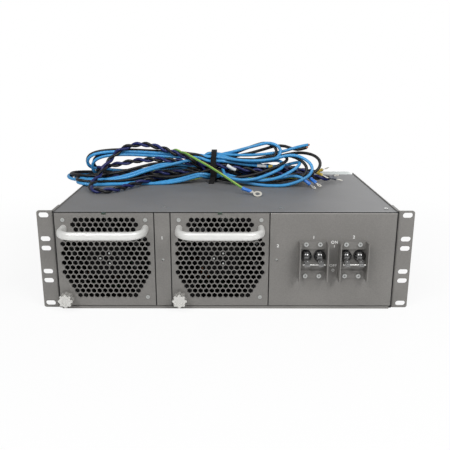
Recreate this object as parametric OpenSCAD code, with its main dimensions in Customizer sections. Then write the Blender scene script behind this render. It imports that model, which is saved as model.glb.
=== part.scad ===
// 19-inch rack power shelf, three rack units high.
// A folded sheet-metal tray holds two plug-in power modules side by side, each with a
// honeycomb air inlet, a fan, a pull handle and a jackscrew knob.  A narrow filler strip
// stands between them, and a breaker panel with two guarded two-pole breakers on the right.
// The output, feed and earth leads leave the back and lie on the lid as one strapped hank.
//
// X runs to the right, Y to the back, Z up.  The origin is the middle of the rack-post
// plane (the back faces of the ears) at the height of the underside.

/* [Shelf body] */
// Outer width of the tray
body_w = 440; // [436:1:443]
// Height of the tray and the ears, three rack units less the usual gap
body_h = 132.5; // [131.5:0.5:134]
// How far the side walls reach behind the rack-post plane
side_depth = 266; // [258:1:285]
// Sheet thickness of the tray
tray_sheet = 1.5; // [1.2:0.1:1.8]
// Sheet thickness of the lid
lid_sheet = 1.2; // [1:0.1:1.5]
// How far the side walls stand above the lid
lid_drop = 1.2; // [0.6:0.1:1.5]
// How far the lid stops short of the side walls' rear end
lid_short = 9; // [5:1:14]
// Depth of the folded side flanges of the lid
lid_flange = 10; // [8:1:14]
// Height of the hemmed front lip of the tray floor
lip_h = 3.2; // [2.6:0.1:3.4]
// Inset of the hemmed lip from each side wall
lip_inset = 4; // [2:0.5:8]

/* [Rack ears] */
// Overall width over both ears
rack_w = 482.6; // [480:0.1:484]
// Sheet thickness of the ears
ear_sheet = 2; // [1.5:0.1:2.4]
// Outer bend radius where an ear is folded
ear_bend = 3; // [2.5:0.5:4]
// Distance between the left and right slot columns
slot_span = 465.1; // [464:0.1:466]
// Slot length
slot_l = 13; // [10:0.5:14]
// Slot width
slot_w = 6.8; // [6:0.1:7.2]
// How far the ear's fixing leg runs back along the side wall
ear_leg = 30; // [24:1:40]
// Corner radius of the ears
ear_r = 3; // [2:0.5:5]

/* [Front plates] */
// How far the front plates stand in front of the rack-post plane
face_front = 6; // [5:0.5:8]
// Thickness of the front plates
face_t = 2; // [1.5:0.1:2.5]
// Gap between neighbouring front plates
face_gap = 0.7; // [0.5:0.1:1]
// How far the front plates stop short of the tray's sides
face_inset = 2.1; // [1.6:0.1:3]
// Height of the front plates' lower edge above the underside
face_low = 4.2; // [3.8:0.1:4.6]
// How far the front plates stop below the top of the tray's walls
face_drop = 1.5; // [1.2:0.1:2.5]
// Width of a module's front plate
module_w = 126.2; // [125.8:0.2:128]
// Width of the filler strip
strip_w = 20; // [18:0.5:22]
// Radius of the adjusting hole beside each module
trim_hole_r = 1.75; // [1.2:0.05:2.2]
// Height of the adjusting holes above the middle of the front plates
trim_up = 0.2; // [-3:0.1:4]

/* [Honeycomb inlet] */
// How many holes of a row would fill the width of the fan
hex_across = 16.3; // [16.1:0.1:16.8]
// How many rows of holes would fill the height of the fan
hex_down = 18.54; // [18.3:0.02:18.7]
// Width of the web between neighbouring holes
hex_web = 1.1; // [0.8:0.05:1.6]
// Distance of the top row of holes from the fan's upper edge
hex_edge = 7.2; // [5.6:0.1:8.6]

/* [Module case] */
// How far the case is narrower than its front plate, on each side
case_inset = 2.4; // [2.3:0.1:2.6]
// Sheet thickness of the case
case_sheet = 0.8; // [0.6:0.1:0.9]
// Depth of the case behind the rack-post plane
case_depth = 225; // [215:1:232]
// Gap between the case and the rails it slides on
slide_gap = 0.3; // [0.2:0.05:0.4]
// Thickness of the guide rails under the cases
rail_floor = 2.6; // [2:0.1:2.8]

/* [Pull handle] */
// Distance between the handle's feet
handle_span = 104.6; // [98:0.2:106]
// Height of the handle above the fan's centre
handle_up = 40.7; // [38:0.1:42]
// How far the handle's grip stands in front of the plate, to its middle
handle_reach = 34; // [32:1:44]
// Height of the grip's section
grip_h = 10.5; // [9:0.5:12]
// Depth of the grip's section
grip_d = 8; // [7:0.5:9]
// Bend radius at the handle's corners, to the middle of the bar
handle_bend = 20; // [12:1:22]

/* [Jackscrew knob] */
// Outer radius of the knob over its lobes
knob_r = 9.5; // [8:0.25:10]
// Length of the knob
knob_l = 12.3; // [10:0.1:14]
// Gap between the knob and the plate, which its neck bridges
knob_out = 4.7; // [3:0.1:7]
// Number of lobes
knob_lobes = 8; // [6:1:10]
// Radius of the jackscrew's rod
rod_r = 2; // [1.8:0.1:2.2]
// Radial gap of the rod in the plates and the nut that it turns in
rod_gap = 0.08; // [0.04:0.01:0.1]

/* [Fan] */
// Gap between the fan's frame and the edges of its front plate
fan_gap = 3.6; // [3.6:0.1:4.6]
// Depth of the fan
fan_depth = 38; // [32:1:40]
// Distance of the fan's fixing holes from the edges of its frame
fan_edge = 7; // [6.5:0.1:7.5]
// Height of the fan's centre above the middle of the front plates
fan_up = 1.3; // [0.9:0.05:1.4]
// Radius of the rotor's hub
hub_r = 27; // [24:0.5:30]
// Number of blades
blades = 7; // [5:1:9]
// Gap between the blade tips and the duct
tip_gap = 1.2; // [0.8:0.1:1.6]
// Radial gap of the fan shaft in its bearing tube
shaft_gap = 0.05; // [0.03:0.01:0.08]

/* [Breakers] */
// Distance of the left breaker's middle from the panel's left edge
breaker_in = 55.7; // [52:0.1:58]
// Distance between the two breakers
breaker_pitch = 51.3; // [50:0.1:54]
// Distance between the poles of a breaker
pole_pitch = 17.8; // [17.5:0.1:17.9]
// Height of the middle of the fixing screws above the middle of the front plates
breaker_up = 0.7; // [-1.5:0.1:2.4]
// Distance between the upper and the lower fixing screws
breaker_screws = 42.8; // [42:0.1:44]
// Height of the toggle pivot above the middle of the screws
pivot_up = 5.9; // [5.5:0.1:6.5]
// How far the toggle pivot stands in front of the panel
pivot_out = 2.5; // [2:0.1:3]
// Radius of the toggle's ball
ball_r = 7; // [6.8:0.1:7.3]
// Gap between the ball and its collar
ball_gap = 0.15; // [0.15:0.05:0.3]
// Wall of the collar
collar_wall = 0.35; // [0.3:0.05:0.5]
// Length of the toggle from its pivot to its tip
toggle_l = 17.3; // [16.5:0.1:19]
// Width of the toggle's lever
lever_w = 6.4; // [5.6:0.2:7.2]
// Thickness of the lever's tip
tip_t = 5; // [4.4:0.2:6]
// Angle of the toggle below the level when it is off, and above it when on
toggle_tilt = 30; // [24:1:32]
// Length of the bar that ties two toggles together
tie_l = 28.7; // [27.5:0.1:30]
// Radius of the tie bar
tie_r = 1; // [0.8:0.05:1.2]
// Distance of the tie bar from the toggles' tips
tie_in = 2.2; // [1.8:0.1:2.6]
// Length of a breaker's body behind the panel
breaker_depth = 55; // [45:1:70]
// Height of a breaker's body
breaker_h = 62; // [58:1:70]

/* [Breaker guards] */
// Width of a guard over its two wings
guard_w = 36.8; // [36.8:0.1:39]
// Height of a guard
guard_h = 50.4; // [50:0.1:54]
// How far the wings stand in front of the panel
guard_reach = 16; // [13:0.5:18]
// Sheet thickness of the guards
guard_sheet = 1.5; // [1.2:0.1:1.5]
// Height of the window below the middle of the screws
window_down = 14.1; // [12:0.1:15]

/* [Rear] */
// How far the rear cover stands behind the side walls
cover_out = 25; // [22:1:30]
// Gap between the rear cover and each side wall
cover_gap = 1.3; // [1:0.1:2]
// Sheet thickness of the rear cover
cover_sheet = 1.2; // [1:0.1:1.5]
// Height of the lead grommets
grommet_z = 72; // [70:1:74]
// Distance between neighbouring grommets
grommet_pitch = 19; // [18:0.5:20]
// Radius of a grommet in its hole
grommet_r = 8; // [7.5:0.1:8.2]

/* [Leads] */
// Diameter of a feed lead
feed_d = 5.5; // [5:0.1:6]
// Diameter over the strands of a twisted output lead
output_d = 11; // [10:0.5:12]
// Diameter of an earth lead
earth_d = 4; // [3.4:0.1:4.4]
// Width of the hook-and-loop strap
strap_w = 8.5; // [8:0.5:12]
// Thickness of the strap
strap_t = 1.6; // [1.2:0.1:2]
// Radius of the strap's loop round the bundle
strap_r = 25; // [22:0.5:26]

/* [Hidden] */
$fn = 48;
eps = 0.01;

// Finishes
paint = "#7b7977";
zinc = "#b4bab7";
bright = "#c9cac8";
black = "#161616";
copper = "#b06a3c";
green = "#1f6b3a";

// Screws: M3 in the sheets, M4 in the handles
m3_r = 1.5;
m4_r = 2;
thread_gap = 0.1;
m3_hole_r = m3_r + thread_gap;
m4_hole_r = m4_r + thread_gap;
low_head_r = 2.7;
low_head_h = 1.4;

// Shelf
half_w = body_w / 2;
wall_in = half_w - tray_sheet;
lid_top = body_h - lid_drop;
lid_low = lid_top - lid_sheet;
lid_rear = side_depth - lid_short;
lid_front = -3;
wall_front = -3.5;
lip_front = -face_front - 0.5;
lip_back = -2;

// Front plates
face_back = -face_front + face_t;
face_edge = half_w - face_inset;
face_high = body_h - face_drop;
face_mid = (face_low + face_high) / 2;
trim_z = face_mid + trim_up;
left_cx = -face_edge + module_w / 2;
strip_left = left_cx + module_w / 2 + face_gap;
strip_mid = strip_left + strip_w / 2;
right_cx = strip_left + strip_w + face_gap + module_w / 2;
module_xs = [left_cx, right_cx];
panel_left = right_cx + module_w / 2 + face_gap;
trim_panel_x = panel_left + 9.5;
return_t = 1.2;                        // sheet of the plates' folded returns
return_l = 30;                         // how far a top return runs back under the lid
return_low = 8;                        // height of the returns' lower ends

// Modules
case_half = module_w / 2 - case_inset;
case_in = case_half - case_sheet;
case_low = tray_sheet + rail_floor + slide_gap;
case_high = lid_low - 0.7;
rail_t = 1;
divider_step = slide_gap + rail_t;     // from a case to the divider beside it
divider_t = 1.2;
divider_foot = 6;
divider_front = lip_back + 0.5;
divider_rear = case_depth + 2;
fan_play = 0.6;                        // the fan is this much lower than the front plate is wide
fan_half = min(module_w, face_high - face_low - fan_play) / 2 - fan_gap;
fan_hole = fan_half - fan_edge;
fan_z = face_mid + fan_up;
fan_bore_r = fan_half - 2;
fan_back = face_back + fan_depth;
knob_x = -fan_hole;
knob_z = fan_z - fan_hole;
knob_back = -face_front - knob_out;
rod_hole_r = rod_r + rod_gap;
handle_z = fan_z + handle_up;
handle_x = handle_span / 2;
plug_w = 60;
plug_h = 18;
plug_z = 36;
plug_l = 14;
vent_low = plug_z + plug_h / 2 + 15;
vent_high = lid_low - 14.1;

// Rear
backplane_y = case_depth + 3;
backplane_t = 1.5;
backplane_back = backplane_y + backplane_t;
socket_wall = 4;
socket_back = backplane_back + 15;
bar_t = 3;
bar_back = socket_back + bar_t;
cover_front = backplane_back + 6;
cover_half = wall_in - cover_gap;
cover_back = side_depth + cover_out;
cover_screw_y = cover_front + 15.5;
cover_screw_xs = [-150, 0, 150];

// Breakers
left_breaker_x = panel_left + breaker_in;
right_breaker_x = left_breaker_x + breaker_pitch;
breaker_xs = [left_breaker_x, right_breaker_x];
breaker_z = face_mid + breaker_up;
pivot_z = breaker_z + pivot_up;
pivot_y = -face_front - pivot_out;
collar_in = ball_r + ball_gap;
collar_r = collar_in + collar_wall;
collar_front = pivot_y - 1.7;
collar_gap = 0.2;
pole_w = pole_pitch - 0.1;
trunnion_r = 0.8;
tie_reach = toggle_l - tie_in;
window_low = breaker_z - window_down;
window_high = pivot_z + collar_r + 1.1;

// Leads
feed_r = feed_d / 2;
output_r = output_d / 2;
earth_r = earth_d / 2;
lead_gap = 0.1;
grommet_xs = [for (i = [0 : 4]) 57 + i * grommet_pitch];
hank_rear = cover_back - 45;
hank_gap = 0.2;
strap_x = -18;
strap_y = 203;
strap_z = lid_top + strap_r;
bundle_r = strap_r - strap_t - 0.05;

// ---------------------------------------------------------------- shared shapes

// A box from its lowest corner to its highest.
module block(lo, hi) {
  translate(lo) cube(hi - lo);
}

// A cylinder along Y from y0 to y1.
module rod_y(r, y0, y1, x = 0, z = 0) {
  translate([x, y0, z]) rotate([-90, 0, 0]) cylinder(r = r, h = y1 - y0);
}

// A cylinder along X from x0 to x1.
module rod_x(r, x0, x1, y = 0, z = 0) {
  translate([x0, y, z]) rotate([0, 90, 0]) cylinder(r = r, h = x1 - x0);
}

// A cylinder along Z from z0 to z1.
module rod_z(r, z0, z1, x = 0, y = 0) {
  translate([x, y, z0]) cylinder(r = r, h = z1 - z0);
}

// A plate in the XZ plane from y0 to y1, drawn by its 2D child as seen from the front.
module plate_xz(y0, y1) {
  translate([0, y1, 0]) rotate([90, 0, 0]) linear_extrude(height = y1 - y0) children();
}

// A rectangle with rounded corners, made of plain circles and squares.
module round_rect(lo, hi, r) {
  translate([lo.x + r, lo.y]) square([hi.x - lo.x - 2 * r, hi.y - lo.y]);
  translate([lo.x, lo.y + r]) square([hi.x - lo.x, hi.y - lo.y - 2 * r]);
  for (x = [lo.x + r, hi.x - r], y = [lo.y + r, hi.y - r])
    translate([x, y]) circle(r = r);
}

// A slot along the first axis: length over its round ends, and width.
module slot2d(l, w) {
  square([l - w, w], center = true);
  for (s = [-1, 1]) translate([s * (l - w) / 2, 0]) circle(d = w);
}

// A machine screw along -Y: its head stands in front of y0 and its shank runs back.
module screw_y(x, z, y0, shank, head_r = 2.9, head_h = 1.9) {
  recess_w = 0.6;
  recess_d = 0.9;
  difference() {
    union() {
      rod_y(head_r, y0 - head_h, y0, x, z);
      rod_y(m3_r, y0 - eps, y0 + shank, x, z);
    }
    for (turn = [0, 90])
      translate([x, y0 - head_h, z]) rotate([0, turn, 0])
        cube([head_r * 1.1, 2 * recess_d, recess_w], center = true);
  }
}

// A countersunk M4 screw that runs forward from the back of a front plate.
module flat_screw(x, z, r, head_r, shank) {
  translate([x, face_back, z]) rotate([90, 0, 0]) {
    cylinder(r1 = head_r, r2 = r, h = face_t);
    cylinder(r = r, h = face_t + shank);
  }
}

// Turns a child that is drawn for +X into its mirror image for -X.
module on_side(s) {
  if (s < 0) mirror([1, 0, 0]) children();
  else children();
}

// ---------------------------------------------------------------- shelf body

ear_screw_zs = [22, body_h / 2, body_h - 22];
ear_screw_y = 17;
lid_side_ys = [70, 190];
lid_side_z = lid_low - lid_flange / 2;
panel_screws = [[panel_left + 15.4, 14.3], [face_edge - 9.3, 14]];
strip_screw = [strip_mid, 20.8];
lid_screws = concat([strip_screw], panel_screws);

module chassis_tray() {
  color(paint) difference() {
    union() {
      block([-half_w, wall_front, 0], [half_w, side_depth, tray_sheet]);
      for (s = [-1, 1]) on_side(s)
        block([wall_in, wall_front, 0], [half_w, side_depth, body_h]);
      // hemmed lip under the front plates
      block([-half_w + lip_inset, lip_front, 0], [half_w - lip_inset, lip_back, lip_h]);
    }
    for (s = [-1, 1]) on_side(s) {
      for (z = ear_screw_zs) rod_x(m3_hole_r, wall_in - 1, half_w + 1, ear_screw_y, z);
      for (y = lid_side_ys) rod_x(m3_hole_r, wall_in - 1, half_w + 1, y, lid_side_z);
    }
    for (x = cover_screw_xs) translate([x, cover_screw_y, 0]) {
      rod_z(m3_hole_r, -1, tray_sheet + 1);
      translate([0, 0, -eps]) cylinder(r1 = 2.9, r2 = m3_hole_r, h = 1.2);
    }
  }
}

module lid() {
  color(paint) difference() {
    union() {
      block([-wall_in, lid_front, lid_low], [wall_in, lid_rear, lid_top]);
      for (s = [-1, 1]) on_side(s)
        block([wall_in - lid_sheet, 8, lid_low - lid_flange],
              [wall_in, cover_front - 1, lid_low + eps]);
    }
    for (p = lid_screws) rod_z(m3_hole_r, lid_low - 1, lid_top + 1, p.x, p.y);
    for (s = [-1, 1], y = lid_side_ys) on_side(s)
      rod_x(m3_hole_r, wall_in - lid_sheet - 1, wall_in + 1, y, lid_side_z);
  }
}

// The rack's holes lie at 5, 9 and 19 eighths of an inch from the middle of three units.
rack_slack = 0.85;
slot_eighth = ((body_h + rack_slack) / 2 - 6.35) / 19;
slot_zs = [for (n = [19, 9, 5]) each [body_h / 2 - n * slot_eighth, body_h / 2 + n * slot_eighth]];

// The ear's folded sheet, seen from above: flange, bend and leg.
module ear_profile() {
  bend = [half_w + ear_bend, ear_bend - ear_sheet];
  translate([bend.x, -ear_sheet]) square([rack_w / 2 - bend.x, ear_sheet]);
  translate([half_w, bend.y]) square([ear_sheet, ear_leg - bend.y]);
  intersection() {
    translate(bend) difference() {
      circle(r = ear_bend);
      circle(r = ear_bend - ear_sheet);
    }
    translate([half_w, -ear_sheet]) square(ear_bend);
  }
}

// A folded ear: a slotted flange beside the tray and a leg screwed to its wall.
module ear(s) {
  color(paint) on_side(s) difference() {
    intersection() {
      linear_extrude(height = body_h) ear_profile();
      plate_xz(-ear_sheet - 1, ear_leg + 1)
        round_rect([half_w - 4 * ear_r, 0], [rack_w / 2, body_h], ear_r);
    }
    plate_xz(-ear_sheet - 1, 1)
      for (z = slot_zs) translate([slot_span / 2, z]) slot2d(slot_l, slot_w);
    for (z = ear_screw_zs)
      rod_x(m3_hole_r, half_w - 1, half_w + ear_sheet + 1, ear_screw_y, z);
  }
}

module chassis_screws() {
  color(bright) {
    for (s = [-1, 1]) on_side(s) {
      for (z = ear_screw_zs)
        side_screw(half_w + ear_sheet, ear_screw_y, z, ear_sheet + tray_sheet + 1);
      for (y = lid_side_ys)
        side_screw(half_w, y, lid_side_z, tray_sheet + lid_sheet + 0.4);
    }
    for (p = lid_screws) translate([p.x, p.y, lid_top]) mirror([0, 0, 1]) rotate([90, 0, 0])
      screw_y(0, 0, 0, 6, head_r = 2.6, head_h = 0.8);
    for (x = cover_screw_xs) translate([x, cover_screw_y, 0.05]) {
      cylinder(r1 = 2.75, r2 = m3_r, h = 1.15);
      cylinder(r = m3_r, h = 7);
    }
  }
}

// A low-headed screw that runs in from a side wall.
module side_screw(x0, y, z, shank) {
  rod_x(low_head_r, x0, x0 + low_head_h, y, z);
  rod_x(m3_r, x0 - shank, x0 + eps, y, z);
}

// Where the case of a module centred on cx ends, at the side s.
function case_side(cx, s) = cx + s * case_half;

// One folded divider: a wall with a foot and a top flange turned to the side s.
module divider(x, s) {
  x1 = x + s * divider_t;
  x2 = x + s * divider_foot;
  block([min(x, x1), divider_front, tray_sheet], [max(x, x1), divider_rear, lid_low]);
  for (z = [tray_sheet, lid_low - divider_t])
    block([min(x, x2), divider_front + 2, z], [max(x, x2), divider_rear, z + divider_t]);
}

module bay_dividers() {
  color(paint) {
    divider(case_side(left_cx, 1) + divider_step, 1);
    divider(case_side(right_cx, -1) - divider_step, -1);
    divider(case_side(right_cx, 1) + divider_step, 1);
  }
}

// An angle rail that carries and guides one lower edge of a module's case.
module guide_rail(x_case, s, x_outer) {
  front = 4;
  shelf = x_case - s * 9;
  leg = x_case + s * slide_gap;
  block([min(x_outer, shelf), front, tray_sheet],
        [max(x_outer, shelf), divider_rear, tray_sheet + rail_floor]);
  block([min(leg, x_outer), front, tray_sheet], [max(leg, x_outer), divider_rear, 12]);
}

module guide_rails() {
  color(zinc) {
    guide_rail(case_side(left_cx, -1), -1, -wall_in);
    guide_rail(case_side(left_cx, 1), 1, case_side(left_cx, 1) + divider_step);
    guide_rail(case_side(right_cx, -1), -1, case_side(right_cx, -1) - divider_step);
    guide_rail(case_side(right_cx, 1), 1, case_side(right_cx, 1) + divider_step);
  }
}

// ---------------------------------------------------------------- filler strip and panel

module filler_strip() {
  tab = 5;
  fold = strip_w / 2 - 3;
  color(paint) difference() {
    union() {
      block([strip_left, -face_front, face_low], [strip_left + strip_w, face_back, face_high]);
      for (s = [-1, 1])
        block([strip_mid + s * fold - return_t / 2, face_back - eps, return_low],
              [strip_mid + s * fold + return_t / 2, 10, lid_low - return_low]);
      // tab under the lid, which its screw holds
      block([strip_mid - tab, face_back - eps, lid_low - return_t],
            [strip_mid + tab, return_l, lid_low]);
    }
    rod_y(trim_hole_r, -face_front - 1, face_back + 1, strip_mid, trim_z);
    rod_z(m3_hole_r, lid_low - 4, lid_low + 1, strip_screw.x, strip_screw.y);
  }
}

// Where the pole on the side s of a breaker at bx has its middle.
function pole_x(bx, s) = bx + s * pole_pitch / 2;

// The four fixing screws of each breaker, as [x, z].
breaker_screw_spots = [for (bx = breaker_xs, s = [-1, 1], d = [-1, 1])
  [pole_x(bx, s), breaker_z + d * breaker_screws / 2]];

module breaker_panel() {
  fold_left = panel_left + 4.5;
  fold_right = wall_in - lid_sheet - 1;
  color(paint) difference() {
    union() {
      block([panel_left, -face_front, face_low], [face_edge, face_back, face_high]);
      // returns: the top one under the lid, and one down each side
      block([fold_left, face_back - eps, lid_low - return_t], [fold_right, return_l, lid_low]);
      for (x = [fold_left, fold_right - return_t])
        block([x, face_back - eps, return_low], [x + return_t, 7, lid_low - return_t + eps]);
    }
    for (bx = breaker_xs, s = [-1, 1])
      rod_y(collar_r + collar_gap, -face_front - 1, face_back + 1, pole_x(bx, s), pivot_z);
    for (p = breaker_screw_spots)
      rod_y(m3_hole_r, -face_front - 1, face_back + 1, p.x, p.y);
    rod_y(trim_hole_r, -face_front - 1, face_back + 1, trim_panel_x, trim_z);
    for (p = panel_screws) rod_z(m3_hole_r, lid_low - 4, lid_low + 1, p.x, p.y);
  }
}

// The voltage-adjusting pots: a body behind the plate and a slotted screw in its hole.
module trim_pots() {
  half = 2.4;
  color(bright) for (x = [strip_mid, trim_panel_x]) difference() {
    union() {
      block([x - half, face_back, trim_z - half], [x + half, face_back + 7, trim_z + half]);
      rod_y(trim_hole_r - 0.3, face_back - 0.8, face_back + 2, x, trim_z);
    }
    block([x - 2, face_back - 1, trim_z - 0.25], [x + 2, face_back - 0.2, trim_z + 0.25]);
  }
}

// ---------------------------------------------------------------- breakers

// A folded guard on each breaker: a base with a window, and a wing on each side.
module breaker_guards() {
  front = -face_front;
  low = breaker_z - guard_h / 2;
  high = breaker_z + guard_h / 2;
  color(paint) for (bx = breaker_xs) difference() {
    union() {
      block([bx - guard_w / 2, front - guard_sheet, low], [bx + guard_w / 2, front, high]);
      for (x = [bx - guard_w / 2, bx + guard_w / 2 - guard_sheet])
        block([x, front - guard_reach, low], [x + guard_sheet, front, high]);
    }
    block([bx - guard_w / 2 + guard_sheet, front - guard_sheet - 1, window_low],
          [bx + guard_w / 2 - guard_sheet, front + 1, window_high]);
    for (p = breaker_screw_spots) rod_y(m3_hole_r, front - guard_sheet - 1, front + 1, p.x, p.y);
  }
}

module guard_screws() {
  color(bright) for (p = breaker_screw_spots)
    screw_y(p.x, p.y, -face_front - guard_sheet, 12);
}

// Two pole housings side by side, each with a collar that carries its toggle.
module breaker(bx) {
  color(black) for (s = [-1, 1]) difference() {
    px = pole_x(bx, s);
    union() {
      block([px - pole_w / 2, face_back, breaker_z - breaker_h / 2],
            [px + pole_w / 2, face_back + breaker_depth, breaker_z + breaker_h / 2]);
      rod_y(collar_r, collar_front, face_back + 1, px, pivot_z);
      for (d = [-1, 1])                                    // terminal studs
        rod_y(2.5, face_back + breaker_depth - 1, face_back + breaker_depth + 14, px,
              breaker_z + d * 20);
    }
    rod_y(collar_in, collar_front - 1, pivot_y + ball_r + 1, px, pivot_z);
    rod_x(trunnion_r + shaft_gap, px - collar_r - 1, px + collar_r + 1, pivot_y, pivot_z);
    for (p = breaker_screw_spots) rod_y(m3_hole_r, face_back - 1, face_back + 12, p.x, p.y);
  }
}

// Brings a child that is drawn level, pointing to the front, to a breaker's toggles at rest.
module at_pivot(x) {
  translate([x, pivot_y, pivot_z]) rotate([toggle_tilt, 0, 0]) children();
}

// A toggle pair: balls on trunnions, with levers that widen to the tip.
module toggles(bx) {
  neck = tip_t * 0.36;
  tip = tip_t / 2;
  color(black) for (s = [-1, 1]) at_pivot(pole_x(bx, s)) difference() {
    union() {
      sphere(r = ball_r);
      rod_x(trunnion_r, -collar_r, collar_r);
      // lever, drawn from the side: a neck, a flare and a tip with rounded edges
      translate([-lever_w / 2, 0, 0]) rotate([90, 0, 90]) linear_extrude(height = lever_w) {
        polygon([[-2, -neck], [7 - toggle_l, -neck], [5 - toggle_l, -tip], [1 - toggle_l, -tip],
                 [1 - toggle_l, tip], [5 - toggle_l, tip], [7 - toggle_l, neck], [-2, neck]]);
        for (z = [-1, 1]) translate([1 - toggle_l, z * (tip - 1)]) circle(r = 1);
        translate([-toggle_l, 1 - tip]) square([2, 2 * tip - 2]);
      }
    }
    rod_x(tie_r + shaft_gap, -lever_w, lever_w, -tie_reach, 0);
  }
}

module tie_bar(bx) {
  color(bright) at_pivot(bx) rod_x(tie_r, -tie_l / 2, tie_l / 2, -tie_reach, 0);
}

// ---------------------------------------------------------------- power modules

// How many holes each honeycomb row has, from the top; odd rows have one on the middle.
hex_rows = [11, 12, 11, 12, 15, 16, 15, 16, 15, 16, 15, 16, 15, 14, 13, 12, 11];

hex_pitch = 2 * fan_half / hex_across;
hex_row = 2 * fan_half / hex_down;

module honeycomb() {
  for (row = [0 : len(hex_rows) - 1], i = [0 : hex_rows[row] - 1])
    translate([(i - (hex_rows[row] - 1) / 2) * hex_pitch,
               fan_z + fan_half - hex_edge - row * hex_row])
      rotate(30) circle(r = (hex_pitch - hex_web) / sqrt(3), $fn = 6);
}

lamp_w = 5.8;
lamp_h = 2.4;
flat_head_r = 3.9;

// The three corners where a screw holds the fan; the jackscrew takes the fourth.
fan_screw_spots = [for (s = [[-1, 1], [1, 1], [1, -1]])
  [s.x * fan_hole, fan_z + s.y * fan_hole]];

module face(cx) {
  color(paint) translate([cx, 0, 0]) difference() {
    plate_xz(-face_front, face_back) difference() {
      translate([-module_w / 2, face_low]) square([module_w, face_high - face_low]);
      honeycomb();
      for (p = fan_screw_spots) translate(p) circle(r = m3_hole_r);
      translate([knob_x, knob_z]) circle(r = rod_hole_r);
      translate([-lamp_w / 2, face_high - lamp_h]) square([lamp_w, lamp_h + 1]);
    }
    for (s = [-1, 1])
      flat_screw(s * handle_x, handle_z, m4_hole_r, flat_head_r + 0.2, 1);
  }
}

// The lower shell: floor with standoffs, and rear wall with its vents and the plug's opening.
module case_base(cx) {
  color(zinc) translate([cx, 0, 0]) {
    block([-case_in, face_back, case_low], [case_in, case_depth, case_low + case_sheet]);
    for (x = [knob_x + 10, case_in - 8], y = [board_y0 + 5, board_y1 - 5])
      rod_z(3, case_low + case_sheet - eps, board_z, x, y);
    plate_xz(case_depth - case_sheet, case_depth) difference() {
      translate([-case_in, case_low]) square([2 * case_in, case_high - case_sheet - case_low]);
      vent_slots();
      square_hole(0);
      translate([knob_x, knob_z]) circle(r = rod_hole_r);
    }
  }
}

// The plug's opening, larger than the plug by the margin on every side.
module square_hole(margin) {
  translate([-plug_w / 2 - margin, plug_z - plug_h / 2 - margin])
    square([plug_w + 2 * margin, plug_h + 2 * margin]);
}

// Upright air slots above the plug, the same in the case, the backplane and the rear cover.
module vent_slots() {
  for (i = [-5 : 5]) translate([i * 9, (vent_low + vent_high) / 2])
    rotate(90) slot2d(vent_high - vent_low, 4.5);
}

module case_cover(cx) {
  color(zinc) translate([cx, 0, 0]) {
    block([-case_half, face_back, case_high - case_sheet], [case_half, case_depth, case_high]);
    for (s = [-1, 1]) on_side(s)
      block([case_in, face_back, case_low],
            [case_half, case_depth, case_high - case_sheet + eps]);
  }
}

// The bar's section: grip_d through the bar and grip_h tall.
module grip_section() {
  square([grip_d, grip_h - grip_d], center = true);
  for (s = [-1, 1]) translate([0, s * (grip_h - grip_d) / 2]) circle(d = grip_d);
}

handle_thread = 12;

// A bar bent to a U, with a blind thread in each foot.
module handle(cx) {
  y_bar = -face_front - handle_reach;
  color(bright) translate([cx, 0, handle_z]) {
    translate([-handle_x + handle_bend, y_bar, 0]) rotate([90, 0, 90])
      linear_extrude(height = handle_span - 2 * handle_bend) grip_section();
    for (s = [-1, 1]) on_side(s) {
      translate([handle_x - handle_bend, y_bar + handle_bend, 0]) rotate([0, 0, -90])
        rotate_extrude(angle = 90) translate([handle_bend, 0]) grip_section();
      difference() {
        translate([handle_x, -face_front, 0]) rotate([90, 0, 0])
          linear_extrude(height = handle_reach - handle_bend) grip_section();
        rod_y(m4_hole_r, -face_front - handle_thread, 0, handle_x, 0);
      }
    }
  }
}

// A lobed knob on the long rod that draws the module home.
module knob(cx) {
  lobe_r = knob_r * 0.2;
  core_r = knob_r - lobe_r;
  front = knob_back - knob_l;
  color(bright) translate([cx + knob_x, 0, knob_z]) {
    difference() {
      union() {
        rod_y(core_r, front, knob_back);
        for (i = [0 : knob_lobes - 1]) rotate([0, i * 360 / knob_lobes, 0])
          rod_y(lobe_r, front + 0.8, knob_back - 1, core_r, 0);
      }
      rod_y(core_r - 1.6 * lobe_r, front - 1, front + 0.8);
    }
    rod_y(rod_r + 2, knob_back - eps, -face_front - 0.3);
    rod_y(rod_r, -face_front - 0.3 - eps, backplane_back + 6);
  }
}

// A light pipe that fills the notch in the plate's upper edge.
module lamp(cx) {
  color(green) block([cx - lamp_w / 2, -face_front - 0.3, face_high - lamp_h],
                     [cx + lamp_w / 2, face_back, face_high]);
}

hub_plate_y = face_back + 1.2;
hub_plate_t = 2.5;
hub_screw_r = 8;
hub_thread_r = 0.8;
hub_screw_angles = [180, 60, -60];
bearing_r = 6;
shaft_r = 2.5;

// The fan's and the handle's screws, and the three that hold the motor to the hub plate.
module module_screws(cx) {
  color(bright) translate([cx, 0, 0]) {
    for (p = fan_screw_spots) screw_y(p.x, p.y, -face_front, 7, head_r = 2.5, head_h = 1);
    for (s = [-1, 1])
      flat_screw(s * handle_x, handle_z, m4_r, flat_head_r, handle_thread - 1);
    for (a = hub_screw_angles)
      translate([hub_screw_r * cos(a), 0, fan_z + hub_screw_r * sin(a)]) {
        rod_y(1.3, hub_plate_y - 1, hub_plate_y);
        rod_y(hub_thread_r, hub_plate_y - eps, hub_plate_y + 2);
      }
  }
}

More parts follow.
